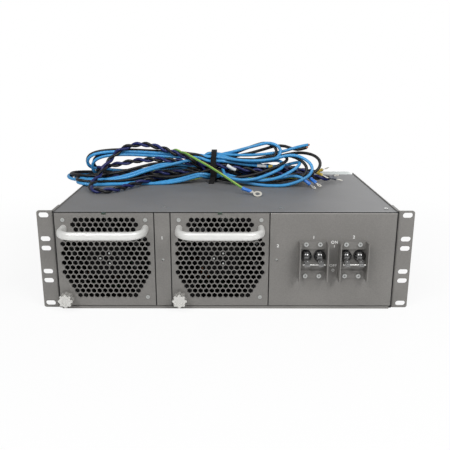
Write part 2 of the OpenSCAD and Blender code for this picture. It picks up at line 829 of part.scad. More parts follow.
// Two square flanges joined by a round duct, with four arms that carry the hub plate.
module fan_frame(cx) {
  flange_t = 4;
  barrel_r = fan_half - 0.6;
  arm = 2.5;
  arm_step = 0.2;                      // the arms lie this much deeper than the hub plate
  color(black) translate([cx, 0, fan_z]) difference() {
    union() {
      for (y = [face_back, fan_back - flange_t])
        plate_xz(y, y + flange_t) round_rect([-fan_half, -fan_half], [fan_half, fan_half], 5);
      rod_y(barrel_r, face_back + 1, fan_back - 1, $fn = 96);
    }
    difference() {
      rod_y(fan_bore_r, face_back - 1, fan_back + 1, $fn = 96);
      rod_y(hub_r - 1, hub_plate_y, hub_plate_y + hub_plate_t);
      rod_y(bearing_r, hub_plate_y, fan_back - 9);
      for (a = [45 : 90 : 315]) rotate([0, a, 0])
        block([hub_r - 4, hub_plate_y + arm_step, -arm],
              [fan_bore_r + 1, hub_plate_y + hub_plate_t - arm_step, arm]);
    }
    rod_y(shaft_r + shaft_gap, hub_plate_y + 1.2, fan_back);
    for (a = hub_screw_angles)
      rod_y(hub_thread_r + thread_gap, hub_plate_y - 1, hub_plate_y + hub_plate_t + 0.5,
            hub_screw_r * cos(a), hub_screw_r * sin(a));
    for (p = fan_screw_spots)
      rod_y(m3_hole_r, face_back - 1, fan_back + 1, p.x, p.y - fan_z);
    rod_y(rod_r + 0.3, face_back - 1, fan_back + 1, knob_x, knob_z - fan_z);
  }
}

// The motor's wound core on the bearing tube, inside the rotor's cup.
module fan_stator(cx) {
  poles = 6;
  pole_r = hub_r - 4;
  y0 = hub_plate_y + hub_plate_t + 4;
  y1 = fan_back - 13;
  color(copper) translate([cx, 0, fan_z]) difference() {
    union() {
      rod_y(bearing_r + 4, y0, y1);
      for (i = [0 : poles - 1]) rotate([0, i * 360 / poles, 0]) {
        block([bearing_r + 2, y0, -2], [pole_r - 1, y1, 2]);
        block([bearing_r + 5, y0 - 1.5, -4], [pole_r - 4, y1 + 1.5, 4]);
        block([pole_r - 3, y0, -6], [pole_r - 0.5, y1, 6]);
      }
    }
    rod_y(bearing_r, y0 - 1, y1 + 1);
  }
}

// A cup-shaped hub on its shaft, with cambered blades set round it.
module fan_rotor(cx) {
  cup_front = hub_plate_y + hub_plate_t + 1.5;
  cup_back = fan_back - 4;
  cup_wall = 2;
  blade_r = fan_bore_r - tip_gap;
  chord = 27;
  camber = 4;
  pitch = 52;
  color(black) translate([cx, 0, fan_z]) {
    difference() {
      rod_y(hub_r, cup_front, cup_back);
      rod_y(hub_r - cup_wall, cup_front - 1, cup_back - cup_wall);
    }
    rod_y(shaft_r, hub_plate_y + 1.5, cup_back - 1);
    intersection() {
      for (i = [0 : blades - 1]) rotate([0, i * 360 / blades, 0])
        translate([hub_r - 1, (cup_front + cup_back) / 2, 0]) rotate([0, 90, 0])
          rotate(-pitch) linear_extrude(height = blade_r - hub_r + 1)
            blade_section(chord, camber, 1.6);
      rod_y(blade_r, cup_front - 1, cup_back + 1, $fn = 96);
    }
  }
}

// A cambered plate: two arcs of a parabola, t apart.
module blade_section(chord, camber, t) {
  steps = 6;
  function rise(i) = let (u = i / steps - 0.5) [u * chord, camber * (1 - 4 * u * u)];
  polygon(concat([for (i = [0 : steps]) rise(i)],
                 [for (i = [steps : -1 : 0]) rise(i) - [0, t]]));
}

board_y0 = fan_back + 10;
board_y1 = case_depth - 12;
board_z = case_low + case_sheet + 5;
board_top = board_z + 1.6;
board_left = knob_x + rod_r + 2;
sink_in = 8;                           // from the case to the heat sink
sink_left = case_in - sink_in - 30;

module board(cx) {
  color(green) block([cx + board_left, board_y0, board_z], [cx + case_in - 4, board_y1, board_top]);
}

// Finned extrusion that stands on the board's right side.
module heat_sink(cx) {
  base_t = 4;
  fin_t = 1.4;
  fins = 9;
  x1 = case_in - sink_in;
  y0 = board_y0 + 8;
  y1 = board_y1 - 24;
  z1 = case_high - case_sheet - 10;
  color(zinc) translate([cx, 0, 0]) {
    block([x1 - base_t, y0, board_top], [x1, y1, z1]);
    for (i = [0 : fins - 1]) let (z = board_top + i * (z1 - board_top - fin_t) / (fins - 1))
      block([sink_left, y0, z], [x1 - base_t + eps, y1, z + fin_t]);
  }
}

// A toroidal transformer lying on the board.
module transformer(cx) {
  section = [24, 26];
  ring_r = (sink_left - board_left - 6.4 - section.x) / 2;
  color(copper) translate([cx + board_left + ring_r + section.x / 2 + 1, board_y0 + 42, board_top])
    rotate_extrude() round_rect([ring_r - section.x / 2, 0], [ring_r + section.x / 2, section.y], 8);
}

module capacitors(cx) {
  can_r = 11;
  color("#2b3a55") for (y = [102, 130], x = [16, 44])
    translate([cx + board_left + x, board_y0 + y, board_top]) cylinder(r = can_r, h = 45);
}

module plug(cx) {
  inside = case_depth - case_sheet;
  color(black) translate([cx, 0, plug_z]) {
    block([-plug_w / 2 - 4, inside - 6, -plug_h / 2 - 3], [plug_w / 2 + 4, inside, plug_h / 2 + 3]);
    block([-plug_w / 2, inside - eps, -plug_h / 2], [plug_w / 2, case_depth + plug_l, plug_h / 2]);
  }
}

// ---------------------------------------------------------------- rear

module backplane() {
  nut_r = 5;
  nut_l = 5;
  color(zinc) {
    plate_xz(backplane_y, backplane_back) difference() {
      translate([-wall_in, tray_sheet])
        square([2 * wall_in, lid_low - lid_flange - tray_sheet - 1]);
      for (cx = module_xs) translate([cx, 0]) {
        vent_slots();
        square_hole(1);
        translate([knob_x, knob_z]) circle(r = rod_hole_r);
      }
    }
    // foot on the tray's floor
    block([-wall_in, backplane_y, tray_sheet],
          [wall_in, cover_front - 0.5, tray_sheet + backplane_t]);
    // clinched nuts for the jackscrews
    for (cx = module_xs) translate([cx + knob_x, backplane_back - eps, knob_z])
      rotate([-90, 0, 0]) difference() {
        cylinder(r = nut_r, h = nut_l, $fn = 6);
        translate([0, 0, -1]) cylinder(r = rod_hole_r, h = nut_l + 2);
      }
  }
}

module module_sockets() {
  slack = 0.3;
  color(black) for (cx = module_xs) translate([cx, 0, plug_z]) difference() {
    block([-plug_w / 2 - socket_wall, backplane_back, -plug_h / 2 - socket_wall],
          [plug_w / 2 + socket_wall, socket_back, plug_h / 2 + socket_wall]);
    block([-plug_w / 2 - slack, backplane_back - 1, -plug_h / 2 - slack],
          [plug_w / 2 + slack, socket_back - 2, plug_h / 2 + slack]);
  }
}

module rear_cover() {
  color(zinc) difference() {
    union() {
      block([-cover_half, cover_back - cover_sheet, tray_sheet],
            [cover_half, cover_back, lid_low]);
      for (z = [tray_sheet, lid_low - cover_sheet])
        block([-cover_half, cover_front, z], [cover_half, cover_back, z + cover_sheet]);
      for (s = [-1, 1]) on_side(s)
        block([cover_half - cover_sheet, cover_front, tray_sheet],
              [cover_half, cover_back, lid_low]);
    }
    plate_xz(cover_back - cover_sheet - 1, cover_back + 1) {
      for (cx = module_xs) translate([cx, 0]) vent_slots();
      for (x = grommet_xs) translate([x, grommet_z]) circle(r = grommet_r);
    }
    for (x = cover_screw_xs)
      rod_z(m3_hole_r, tray_sheet - 1, tray_sheet + cover_sheet + 1, x, cover_screw_y);
  }
}

terminal_x0 = 64;
terminal_x1 = 140;

// A barrier strip on the two busbars, with walls between its poles.
module terminal_block() {
  poles = 6;
  wall = 1.2;
  step = (terminal_x1 - terminal_x0 - wall) / poles;
  z0 = plug_z - plug_h / 2 - socket_wall;
  z1 = plug_z + plug_h / 2 + socket_wall;
  color(black) {
    block([terminal_x0, bar_back, z0], [terminal_x1, bar_back + 8, z1]);
    for (i = [0 : poles])
      block([terminal_x0 + i * step, bar_back, z0],
            [terminal_x0 + i * step + wall, bar_back + 15, z1]);
  }
}

module busbars() {
  color(copper) for (s = [-1, 1])
    block([left_cx - 20, socket_back, plug_z + s * 7.5 - 5],
          [terminal_x1 - 2, bar_back, plug_z + s * 7.5 + 5]);
}

// The leads of each grommet, as [x from its middle, radius]: two feed pairs, two outputs
// and an earth lead.
feed_offset = feed_r + 0.4;
grommet_leads = [
  [[-feed_offset, feed_r], [feed_offset, feed_r]],
  [[-feed_offset, feed_r], [feed_offset, feed_r]],
  [[0, output_r]],
  [[0, output_r]],
  [[0, earth_r]]
];

// A rubber bush with a lip on each side of the sheet and a bore for each lead.
module lead_grommets() {
  lip = 2.5;
  front = cover_back - cover_sheet;
  color(black) for (i = [0 : len(grommet_xs) - 1]) difference() {
    union() {
      rod_y(grommet_r, front - lip, cover_back + lip, grommet_xs[i], grommet_z);
      rod_y(grommet_r + 0.8, cover_back, cover_back + lip, grommet_xs[i], grommet_z);
      rod_y(grommet_r + 0.8, front - lip, front, grommet_xs[i], grommet_z);
    }
    for (b = grommet_leads[i])
      rod_y(b[1] + lead_gap, front - lip - 1, cover_back + lip + 1, grommet_xs[i] + b[0],
            grommet_z);
  }
}

// ---------------------------------------------------------------- leads

// A ring of points in the plane across the direction d.
function unit(v) = v / norm(v);
function ring(c, d, r, sides) =
  let (side = unit(cross(d, [1, 0.01, 0.02])), up = unit(cross(side, d)))
  [for (i = [0 : sides - 1]) let (a = i * 360 / sides)
    c + r * (cos(a) * side + sin(a) * up)];
function heading(p, i) =
  let (n = len(p) - 1)
  i == 0 ? unit(p[1] - p[0]) : i == n ? unit(p[n] - p[n - 1]) : unit(p[i + 1] - p[i - 1]);

// A round tube swept along the route p.
module tube(p, r, sides = 8) {
  n = len(p);
  rings = [for (i = [0 : n - 1]) each ring(p[i], heading(p, i), r, sides)];
  walls = [for (i = [0 : n - 2], j = [0 : sides - 1])
    let (k = (j + 1) % sides)
    each [[i * sides + j, i * sides + k, (i + 1) * sides + k],
          [i * sides + j, (i + 1) * sides + k, (i + 1) * sides + j]]];
  ends = [[for (j = [sides - 1 : -1 : 0]) j], [for (j = [0 : sides - 1]) (n - 1) * sides + j]];
  polyhedron(points = rings, faces = concat(walls, ends), convexity = 6);
}

// The way of a lead out of the back and over the lid to the hank's rear face, as
// [distance behind the cover, height, share of the lead's radius by which it lies higher].
// The first heights are above the grommets and the last ones above the lid.
rear_low = [[-5, 0, 0], [12, 0, 0], [34, 9, 0.1], [43, 30, 0.5]];
rear_high = [[34, -8.3, 0.9], [12, 0.2, 1], [-16, 0.2, 1], [-45, 0.2, 1]];
function rear_route(x, r) = concat(
  [for (p = rear_low) [x, cover_back + p[0], grommet_z + p[1] + p[2] * r]],
  [for (p = rear_high) [x, cover_back + p[0], lid_top + p[1] + p[2] * r]]);

module feed_leads() {
  for (i = [0, 1], lead = grommet_leads[i])
    color(lead[0] < 0 ? "#3f9be0" : black) tube(rear_route(grommet_xs[i] + lead[0], feed_r), feed_r);
}

module output_leads() {
  color("#1d2147") for (i = [2, 3]) tube(rear_route(grommet_xs[i], output_r), output_r, 10);
}

// One end of the earth lead leaves the hank at the front and runs down to its ring; the
// heights are above the lid.
earth_front = [
  [-70, 184, 48.7], [-63, 172, 49.3], [-45, 158, 41.7], [-27, 145, 34.2], [-10, 129, 26.5],
  [2, 118, 20.5], [14, 108, 14.3]
];

module earth_leads() {
  color("#7fb02c") {
    tube(rear_route(grommet_xs[4], earth_r), earth_r);
    tube(concat([for (p = earth_front) p + [0, 0, lid_top]], [barrel_end]), earth_r);
  }
}

// The crimped ring leans on the lid by the front of its eye.
ring_at = [45.5, 88.4];
ring_tilt = 24;
ring_turn = 147.5;
eye_r = 6.4;
eye_hole_r = 3.25;
eye_t = 1.1;
barrel_r = 2.6;
barrel_from = 11;
barrel_l = 13.5;
eye_z = lid_top + eye_r * sin(ring_tilt) + eye_t / 2 * cos(ring_tilt);
barrel_reach = barrel_from + barrel_l;
barrel_end = [ring_at.x + barrel_reach * cos(ring_turn),
              ring_at.y + barrel_reach * sin(ring_turn) * cos(ring_tilt),
              eye_z + barrel_reach * sin(ring_turn) * sin(ring_tilt)];

module ring_terminal() {
  neck_w = 4.4;
  translate([ring_at.x, ring_at.y, eye_z]) rotate([ring_tilt, 0, 0]) rotate([0, 0, ring_turn]) {
    color(bright) difference() {
      union() {
        translate([0, 0, -eye_t / 2]) cylinder(r = eye_r, h = eye_t);
        block([eye_r - 1.5, -neck_w / 2, -eye_t / 2], [barrel_from + 1, neck_w / 2, eye_t / 2]);
      }
      rod_z(eye_hole_r, -eye_t, eye_t);
    }
    color("#2f7fd6") rod_x(barrel_r, barrel_from, barrel_reach);
  }
}

// A smooth closed line through the points p.
function smooth(p, steps = 4) =
  let (n = len(p))
  [for (i = [0 : n - 1], j = [0 : steps - 1])
    let (t = j / steps, a = p[(i + n - 1) % n], b = p[i], c = p[(i + 1) % n], d = p[(i + 2) % n])
    b + 0.5 * t * (c - a + t * (2 * a - 5 * b + 4 * c - d + t * (3 * (b - c) + d - a)))];

// The hank's outline from the front as [x, height above the lid], from above as [x, y] and
// from the side as [y, height above the lid].
hank_front = [
  [-262, 8.7], [-246, 26.7], [-222, 44.7], [-180, 53.7], [-135, 62.7], [-90, 57.7],
  [-40, 49.7], [10, 52.7], [85, 63.7], [132, 60.7], [154, 42.7], [186, 10.7], [176, -9.3],
  [-40, -13.3], [-250, -9.3]
];
hank_plan = [
  [-262, 208], [-244, 182], [-200, 128], [-172, 113], [-148, 150], [-88, 179], [-18, 176],
  [30, 164], [80, 140], [126, 127], [162, 150], [186, 196], [182, 234], [130, 256], [-18, 252],
  [-190, 256], [-246, 240]
];
hank_side = [
  [104, -13.3], [110, 10.7], [136, 20.7], [166, 46.7], [186, 61.7], [214, 64.7], [236, 48.7],
  [252, 18.7], [252, -13.3]
];

hank_low_y = 100;
hank_h = 90;
hank_half = 300;

module lead_hank() {
  cut_w = strap_w + 1.2;
  wall_cut = wall_in - 0.5;
  color("#2f6fae") difference() {
    intersection() {
      plate_xz(hank_low_y, hank_rear) translate([0, lid_top]) polygon(smooth(hank_front));
      translate([0, 0, lid_top]) linear_extrude(height = hank_h) polygon(smooth(hank_plan));
      translate([-hank_half, 0, lid_top]) rotate([90, 0, 90])
        linear_extrude(height = 2 * hank_half) difference() {
          polygon(smooth(hank_side));
          translate([hank_low_y, -hank_h]) square([2 * hank_h, hank_h]);
        }
    }
    block([strap_x - cut_w / 2, hank_low_y, lid_top - 1],
          [strap_x + cut_w / 2, hank_rear + 1, lid_top + hank_h]);
    // the side walls stand above the lid
    for (s = [-1, 1]) on_side(s)
      block([wall_cut, 0, lid_top - 1], [hank_half, hank_rear + 1, body_h + hank_gap]);
  }
  color("#2f6fae")
    rod_x(bundle_r, strap_x - cut_w / 2 - 2, strap_x + cut_w / 2 + 2, strap_y, strap_z);
}

// A closed loop of hook-and-loop tape round the bundle.
module hank_strap() {
  color(black) difference() {
    rod_x(strap_r, strap_x - strap_w / 2, strap_x + strap_w / 2, strap_y, strap_z);
    rod_x(strap_r - strap_t, strap_x - strap_w, strap_x + strap_w, strap_y, strap_z);
  }
}

// ---------------------------------------------------------------- nodes

// The pieces of one module, which the left and the right one share.
module power_module(side, cx) {
  face(cx);
  case_base(cx);
  case_cover(cx);
  handle(cx);
  knob(cx);
  lamp(cx);
  module_screws(cx);
  fan_frame(cx);
  fan_stator(cx);
  fan_rotor(cx);
  board(cx);
  heat_sink(cx);
  transformer(cx);
  capacitors(cx);
  plug(cx);
}

chassis_tray();
lid();
ear(-1);  // left_ear
ear(1);  // right_ear
chassis_screws();
bay_dividers();
guide_rails();
backplane();
module_sockets();
rear_cover();
filler_strip();
breaker_panel();
trim_pots();
breaker_guards();
guard_screws();
breaker(left_breaker_x);  // left_breaker
breaker(right_breaker_x);  // right_breaker
toggles(left_breaker_x);  // left_toggles
toggles(right_breaker_x);  // right_toggles
tie_bar(left_breaker_x);  // left_tie_bar
tie_bar(right_breaker_x);  // right_tie_bar
terminal_block();
busbars();
lead_grommets();
lead_hank();
hank_strap();
feed_leads();
output_leads();
earth_leads();
ring_terminal();
power_module("left", left_cx);
power_module("right", right_cx);
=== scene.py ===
"""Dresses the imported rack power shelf: finishes, leads, terminals, strap and lettering.

The shelf stands on a pale studio floor.  Every class below holds one sub-assembly: its
sizes are dataclass fields in metres, and its methods build and dress its meshes.
"""

import logging
import math
from collections.abc import Callable
from dataclasses import dataclass, field
from enum import Enum

import bpy
import numpy as np
from mathutils import Matrix, Vector

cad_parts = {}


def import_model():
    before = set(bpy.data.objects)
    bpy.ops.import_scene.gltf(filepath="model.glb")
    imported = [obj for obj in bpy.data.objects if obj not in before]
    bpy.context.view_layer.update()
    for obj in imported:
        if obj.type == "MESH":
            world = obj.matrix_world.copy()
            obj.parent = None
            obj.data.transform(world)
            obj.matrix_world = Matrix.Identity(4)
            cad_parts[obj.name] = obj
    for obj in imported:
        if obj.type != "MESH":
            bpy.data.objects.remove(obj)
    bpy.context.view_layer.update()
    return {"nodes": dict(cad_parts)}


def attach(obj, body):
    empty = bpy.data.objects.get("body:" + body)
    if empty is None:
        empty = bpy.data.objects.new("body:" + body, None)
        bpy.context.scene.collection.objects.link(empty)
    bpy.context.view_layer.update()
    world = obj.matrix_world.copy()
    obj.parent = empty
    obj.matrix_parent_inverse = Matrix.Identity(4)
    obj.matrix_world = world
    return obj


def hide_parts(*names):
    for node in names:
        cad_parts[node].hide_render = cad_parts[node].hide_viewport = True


LOG = logging.getLogger("power_shelf")
MM = 0.001
Point = tuple[float, float, float]
Colour = tuple[float, float, float]
Piece = bpy.types.Object
Face = bpy.types.MeshPolygon


# ------------------------------------------------------------------ shader building


def linear(code: str) -> Colour:
    """Turns a hex colour into linear values.

    Args:
        code: six hex digits, without a leading sign.

    Returns:
        The red, green and blue parts for a shader socket.
    """
    parts = [int(code[i : i + 2], 16) / 255 for i in (0, 2, 4)]
    return tuple(
        c / 12.92 if c <= 0.04045 else ((c + 0.055) / 1.055) ** 2.4 for c in parts
    )


def shaded(colour: Colour, factor: float, lift: float = 0.0) -> Colour:
    """A colour made darker or lighter by a factor, and lifted."""
    return tuple(c * factor + lift for c in colour)


def _operator(operation: str, swapped: bool = False) -> Callable:
    """An operator of Value that adds one Math node, its operands swapped or not."""

    def work(value: "Value", other: "Value | float") -> "Value":
        """Works on a value and another operand."""
        pair = (other, value) if swapped else (value, other)
        return value.maths(operation, *pair)

    return work


class Value:
    """A number socket that Python expressions can work with."""

    __add__ = _operator("ADD")
    __radd__ = _operator("ADD", True)
    __sub__ = _operator("SUBTRACT")
    __rsub__ = _operator("SUBTRACT", True)
    __mul__ = _operator("MULTIPLY")
    __rmul__ = _operator("MULTIPLY", True)
    __mod__ = _operator("MODULO")
    __rmod__ = _operator("MODULO", True)

    def __init__(self, graph: "Graph", socket: bpy.types.NodeSocket) -> None:
        """Wraps a socket of a graph."""
        self.graph = graph
        self.socket = socket

    def maths(self, operation: str, *values: "Value | float") -> "Value":
        """Adds one Math node."""
        inputs = dict(enumerate(values))
        return self.graph.node("ShaderNodeMath", {"operation": operation}, inputs)

    def power(self, exponent: float) -> "Value":
        """This value raised to an exponent."""
        return self.maths("POWER", self, exponent)

    def above(self, limit: float) -> "Value":
        """One where this value is above the limit, and zero elsewhere."""
        return self.maths("GREATER_THAN", self, limit)

    def ramp(self, low: float, high: float) -> "Value":
        """Zero below low, one above high, and a smooth step between them."""
        ends = {"Value": self, "From Min": low, "From Max": high}
        step = {"interpolation_type": "SMOOTHSTEP"}
        return self.graph.node("ShaderNodeMapRange", step, ends)


class Graph:
    """One material's nodes round a Principled shader."""

    def __init__(self, name: str) -> None:
        """Makes an empty material with its shader and output."""
        self.material = bpy.data.materials.new(name)
        self.material.use_nodes = True
        self.tree = self.material.node_tree
        self.tree.nodes.clear()
        self.shader = self.tree.nodes.new("ShaderNodeBsdfPrincipled")
        self.output = self.tree.nodes.new("ShaderNodeOutputMaterial")
        self.tree.links.new(self.shader.outputs[0], self.output.inputs[0])

    def node(
        self, kind: str, settings: dict, inputs: dict, output: int | str = 0
    ) -> Value:
        """Adds a node.

        Args:
            kind: the node's type.
            settings: its properties, which are set first.
            inputs: values or links of its sockets, by name or number.
            output: the name or number of the output that is wanted.

        Returns:
            The wanted output.
        """
        made = self.tree.nodes.new(kind)
        for key, setting in settings.items():
            setattr(made, key, setting)
        for key, given in inputs.items():
            self.feed(made.inputs[key], given)
        return Value(self, made.outputs[output])

    def feed(self, socket: bpy.types.NodeSocket, given: object) -> None:
        """Links a Value to a socket, or sets the socket's own number or colour."""
        if isinstance(given, Value):
            self.tree.links.new(given.socket, socket)
        elif isinstance(given, tuple) and socket.type == "RGBA":
            socket.default_value = (*given, 1.0)
        else:
            socket.default_value = given

    def place(self, scale: Point = (1, 1, 1)) -> Value:
        """The piece's own coordinates, stretched."""
        at = self.node("ShaderNodeTexCoord", {}, {}, "Object")
        return self.node("ShaderNodeMapping", {}, {"Vector": at, "Scale": scale})

    def reach(self, towards: Point) -> Value:
        """How far a place on the piece lies in a direction, in metres."""
        settings = {"operation": "DOT_PRODUCT"}
        ends = {0: self.place(), 1: towards}
        return self.node("ShaderNodeVectorMath", settings, ends, "Value")

    def noise(
        self, scale: float, detail: float = 2.0, stretch: Point = (1, 1, 1)
    ) -> Value:
        """A noise whose features are about one over scale in size, in metres."""
        ends = {"Vector": self.place(stretch), "Scale": scale, "Detail": detail}
        return self.node("ShaderNodeTexNoise", {}, ends, "Fac")

    def mix(
        self, share: Value | float, low: Value | Colour, high: Value | Colour
    ) -> Value:
        """A colour between two."""
        ends = {0: share, 6: low, 7: high}
        return self.node("ShaderNodeMix", {"data_type": "RGBA"}, ends, 2)

    def bump(self, height: Value, strength: float, distance: float) -> None:
        """Lets a height field tilt the shader's normal."""
        ends = {"Height": height, "Strength": strength, "Distance": distance}
        self.set(Normal=self.node("ShaderNodeBump", {}, ends))

    def set(self, **sockets: object) -> None:
        """Sets or links sockets of the shader, with _ for a space in a name."""
        for key, given in sockets.items():
            self.feed(self.shader.inputs[key.replace("_", " ")], given)


# ------------------------------------------------------------------ finishes


@dataclass(frozen=True)
class PowderCoat:
    """A fine-textured powder coat over steel sheet.

    Attributes:
        fold: a direction, and how far along it the paint gets lighter as a painted
            highlight, the way a lit fold looks.
        seams: where the dark gaps cross the paint, along X; painted shade darkens the
            paint along them.
        seam_top: the height above which the paint is darkened as painted shade, for the
            gap under the lid.
    """

    name: str
    colour: Colour
    roughness: float = 0.5
    texture: float = 620.0
    fold: tuple[Point, float] | None = None
    seams: tuple[float, ...] = ()
    seam_top: float = 0.1306
    seam_half: float = 0.00085
    blur: float = 0.0002

    def make(self) -> bpy.types.Material:
        """Builds the material, with a painted highlight beyond its fold and painted shade
        along its seams.
        """
        graph = Graph(self.name)
        grain = graph.noise(self.texture, 3.0)
        patch = graph.noise(14.0, 2.0)
        shade = (grain * 0.55 + patch * 0.45).ramp(0.3, 0.7)
        base = graph.mix(shade, shaded(self.colour, 0.9), shaded(self.colour, 1.1))
        # Painted highlight: beyond the fold the paint is made lighter, for the light that
        # the fold catches.
        if self.fold is not None:
            towards, start = self.fold
            highlight_mask = graph.reach(towards).ramp(start - self.blur, start + self.blur)
            base = graph.mix(highlight_mask, base, shaded(self.colour, 1.7))
        # Painted shade: the paint is made nearly black along the seams and above
        # seam_top, where the gaps lie in shade.
        if self.seams:
            seam_shade_mask = graph.reach((0, 0, 1)).ramp(self.seam_top - self.blur, self.seam_top)
            across = graph.reach((1, 0, 0))
            width = self.seam_half * 1000.0
            for seam in self.seams:
                away = (across - seam) * 1000.0
                seam_shade_mask = seam_shade_mask + (1 - (away * away).ramp((width * 0.7) ** 2, width**2))
            base = graph.mix(seam_shade_mask, base, shaded(self.colour, 0.05))
        graph.set(
            Base_Color=base,
            Roughness=grain * 0.12 + (self.roughness - 0.06),
            Specular_IOR_Level=0.42,
        )
        graph.bump(grain + graph.noise(self.texture * 2.1, 1.0) * 0.5, 0.22, 0.0002)
        return graph.material


@dataclass(frozen=True)
class Metal:
    """A bare or plated metal with fine drawn lines."""

    name: str
    colour: Colour
    roughness: float = 0.28
    lines: Point = (1.0, 1.0, 12.0)
    grain: float = 260.0
    metallic: float = 1.0

    def make(self) -> bpy.types.Material:
        """Builds the material."""
        graph = Graph(self.name)
        drawn = graph.noise(self.grain, 3.0, self.lines)
        smudge = graph.noise(35.0, 2.0)
        dark = shaded(self.colour, 0.86)
        graph.set(
            Base_Color=graph.mix(drawn * 0.6 + smudge * 0.4, dark, self.colour),
            Metallic=self.metallic,
            Roughness=drawn * 0.1 + smudge * 0.1 + (self.roughness - 0.1),
        )
        graph.bump(drawn, 0.08, 0.0002)
        return graph.material


@dataclass(frozen=True)
class Galvanised:
    """Zinc-coated sheet with its faint crystal spangle."""

    name: str
    colour: Colour
    spangle: float = 90.0

    def make(self) -> bpy.types.Material:
        """Builds the material."""
        graph = Graph(self.name)
        ends = {"Vector": graph.place(), "Scale": self.spangle}
        cells = graph.node("ShaderNodeTexVoronoi", {"feature": "F1"}, ends, "Color")
        tone = graph.node("ShaderNodeRGBToBW", {}, {"Color": cells})
        fine = graph.noise(500.0, 2.0)
        dark = shaded(self.colour, 0.82)
        graph.set(
            Base_Color=graph.mix(tone * 0.7 + fine * 0.3, dark, self.colour),
            Metallic=0.75,
            Roughness=tone * 0.14 + 0.34,
        )
        graph.bump(fine, 0.06, 0.0002)
        return graph.material


@dataclass(frozen=True)
class Plastic:
    """A moulded plastic or rubber.

    Attributes:
        relief: the strength of the grain.
        core: a point, and the radius round its X line within which the colour differs.
    """

    name: str
    colour: Colour
    roughness: float = 0.35
    texture: float = 900.0
    relief: float = 0.06
    coat: float = 0.0
    gloss: float = 0.5
    core: tuple[Point, float, Colour] | None = None

    def make(self) -> bpy.types.Material:
        """Builds the material."""
        graph = Graph(self.name)
        grain = graph.noise(self.texture, 2.0)
        cloud = graph.noise(45.0, 2.0)
        base = graph.mix(cloud.ramp(0.3, 0.7), shaded(self.colour, 0.84), self.colour)
        if self.core is not None:
            (_, y, z), radius, inner = self.core
            out = graph.reach((0, 1, 0)) - y
            up = graph.reach((0, 0, 1)) - z
            away = (out * out + up * up).power(0.5)
            base = graph.mix(away.above(radius), inner, base)
        graph.set(
            Base_Color=base,
            Roughness=grain * 0.1 + (self.roughness - 0.05),
            Specular_IOR_Level=self.gloss,
            Coat_Weight=self.coat,
            Coat_Roughness=self.roughness / 2,
            Coat_IOR=1.0 + self.gloss,
        )
        graph.bump(grain, self.relief, 0.0002)
        return graph.material


@dataclass(frozen=True)
class LeadJacket:
    """The extruded insulation of a lead, with faint dust and scuffs."""

    name: str
    colour: Colour
    roughness: float = 0.34
    shine: float = 0.3
    stripe: Colour | None = None

    def make(self) -> bpy.types.Material:
        """Builds the material."""
        graph = Graph(self.name)
        scuff = graph.noise(150.0, 3.0)
        cloud = graph.noise(22.0, 2.0)
        worn = shaded(self.colour, 0.8, 0.012)
        fresh = (scuff * 0.4 + cloud * 0.6).ramp(0.34, 0.62)
        base = graph.mix(fresh, worn, self.colour)
        if self.stripe is not None:
            side = graph.node("ShaderNodeUVMap", {}, {})
            parts = graph.node("ShaderNodeSeparateXYZ", {}, {"Vector": side}, 1)
            striped = ((parts * 2 + 0.3) % 1).above(0.6)
            base = graph.mix(striped, base, self.stripe)
        graph.set(
            Base_Color=base,
            Roughness=scuff * 0.16 + (self.roughness - 0.08),
            Specular_IOR_Level=self.shine,
        )
        graph.bump(scuff, 0.05, 0.0002)
        return graph.material


@dataclass(frozen=True)
class Webbing:
    """Woven hook-and-loop tape."""

    name: str
    colour: Colour
    thread: float = 0.0011

    def make(self) -> bpy.types.Material:
        """Builds the material."""
        graph = Graph(self.name)
        ends = {"Vector": graph.place((1 / self.thread,) * 3), "Scale": 1.0}
        weave = graph.node("ShaderNodeTexVoronoi", {"feature": "F1"}, ends)
        fluff = graph.noise(1500.0, 3.0)
        light = shaded(self.colour, 2.6, 0.01)
        deep = (weave * 0.6 + fluff * 0.4).ramp(0.2, 0.8)
        graph.set(
            Base_Color=graph.mix(deep, light, self.colour),
            Roughness=0.86,
            Specular_IOR_Level=0.2,
            Sheen_Weight=0.05,
        )
        graph.bump(weave + fluff * 0.4, 0.5, 0.0006)
        return graph.material


@dataclass(frozen=True)
class CircuitBoard:
    """Solder resist with tracks under it."""

    name: str
    colour: Colour

    def make(self) -> bpy.types.Material:
        """Builds the material."""
        graph = Graph(self.name)
        ends = {"Vector": graph.place(), "Scale": 60.0, "Mortar Size": 0.05}
        tracks = graph.node("ShaderNodeTexBrick", {"offset": 0.37}, ends, "Fac")
        graph.set(
            Base_Color=graph.mix(tracks, self.colour, shaded(self.colour, 1.7)),
            Roughness=graph.noise(200.0) * 0.1 + 0.3,
        )
        return graph.material


# The line through the middles of the toggle balls, and the gaps beside the front plates,
# along which the plates get painted shade.
TOGGLE_Y, TOGGLE_Z = -0.0085, 0.0742
SEAMS = (-0.21855, -0.09135, -0.07065, 0.05625, 0.21855)


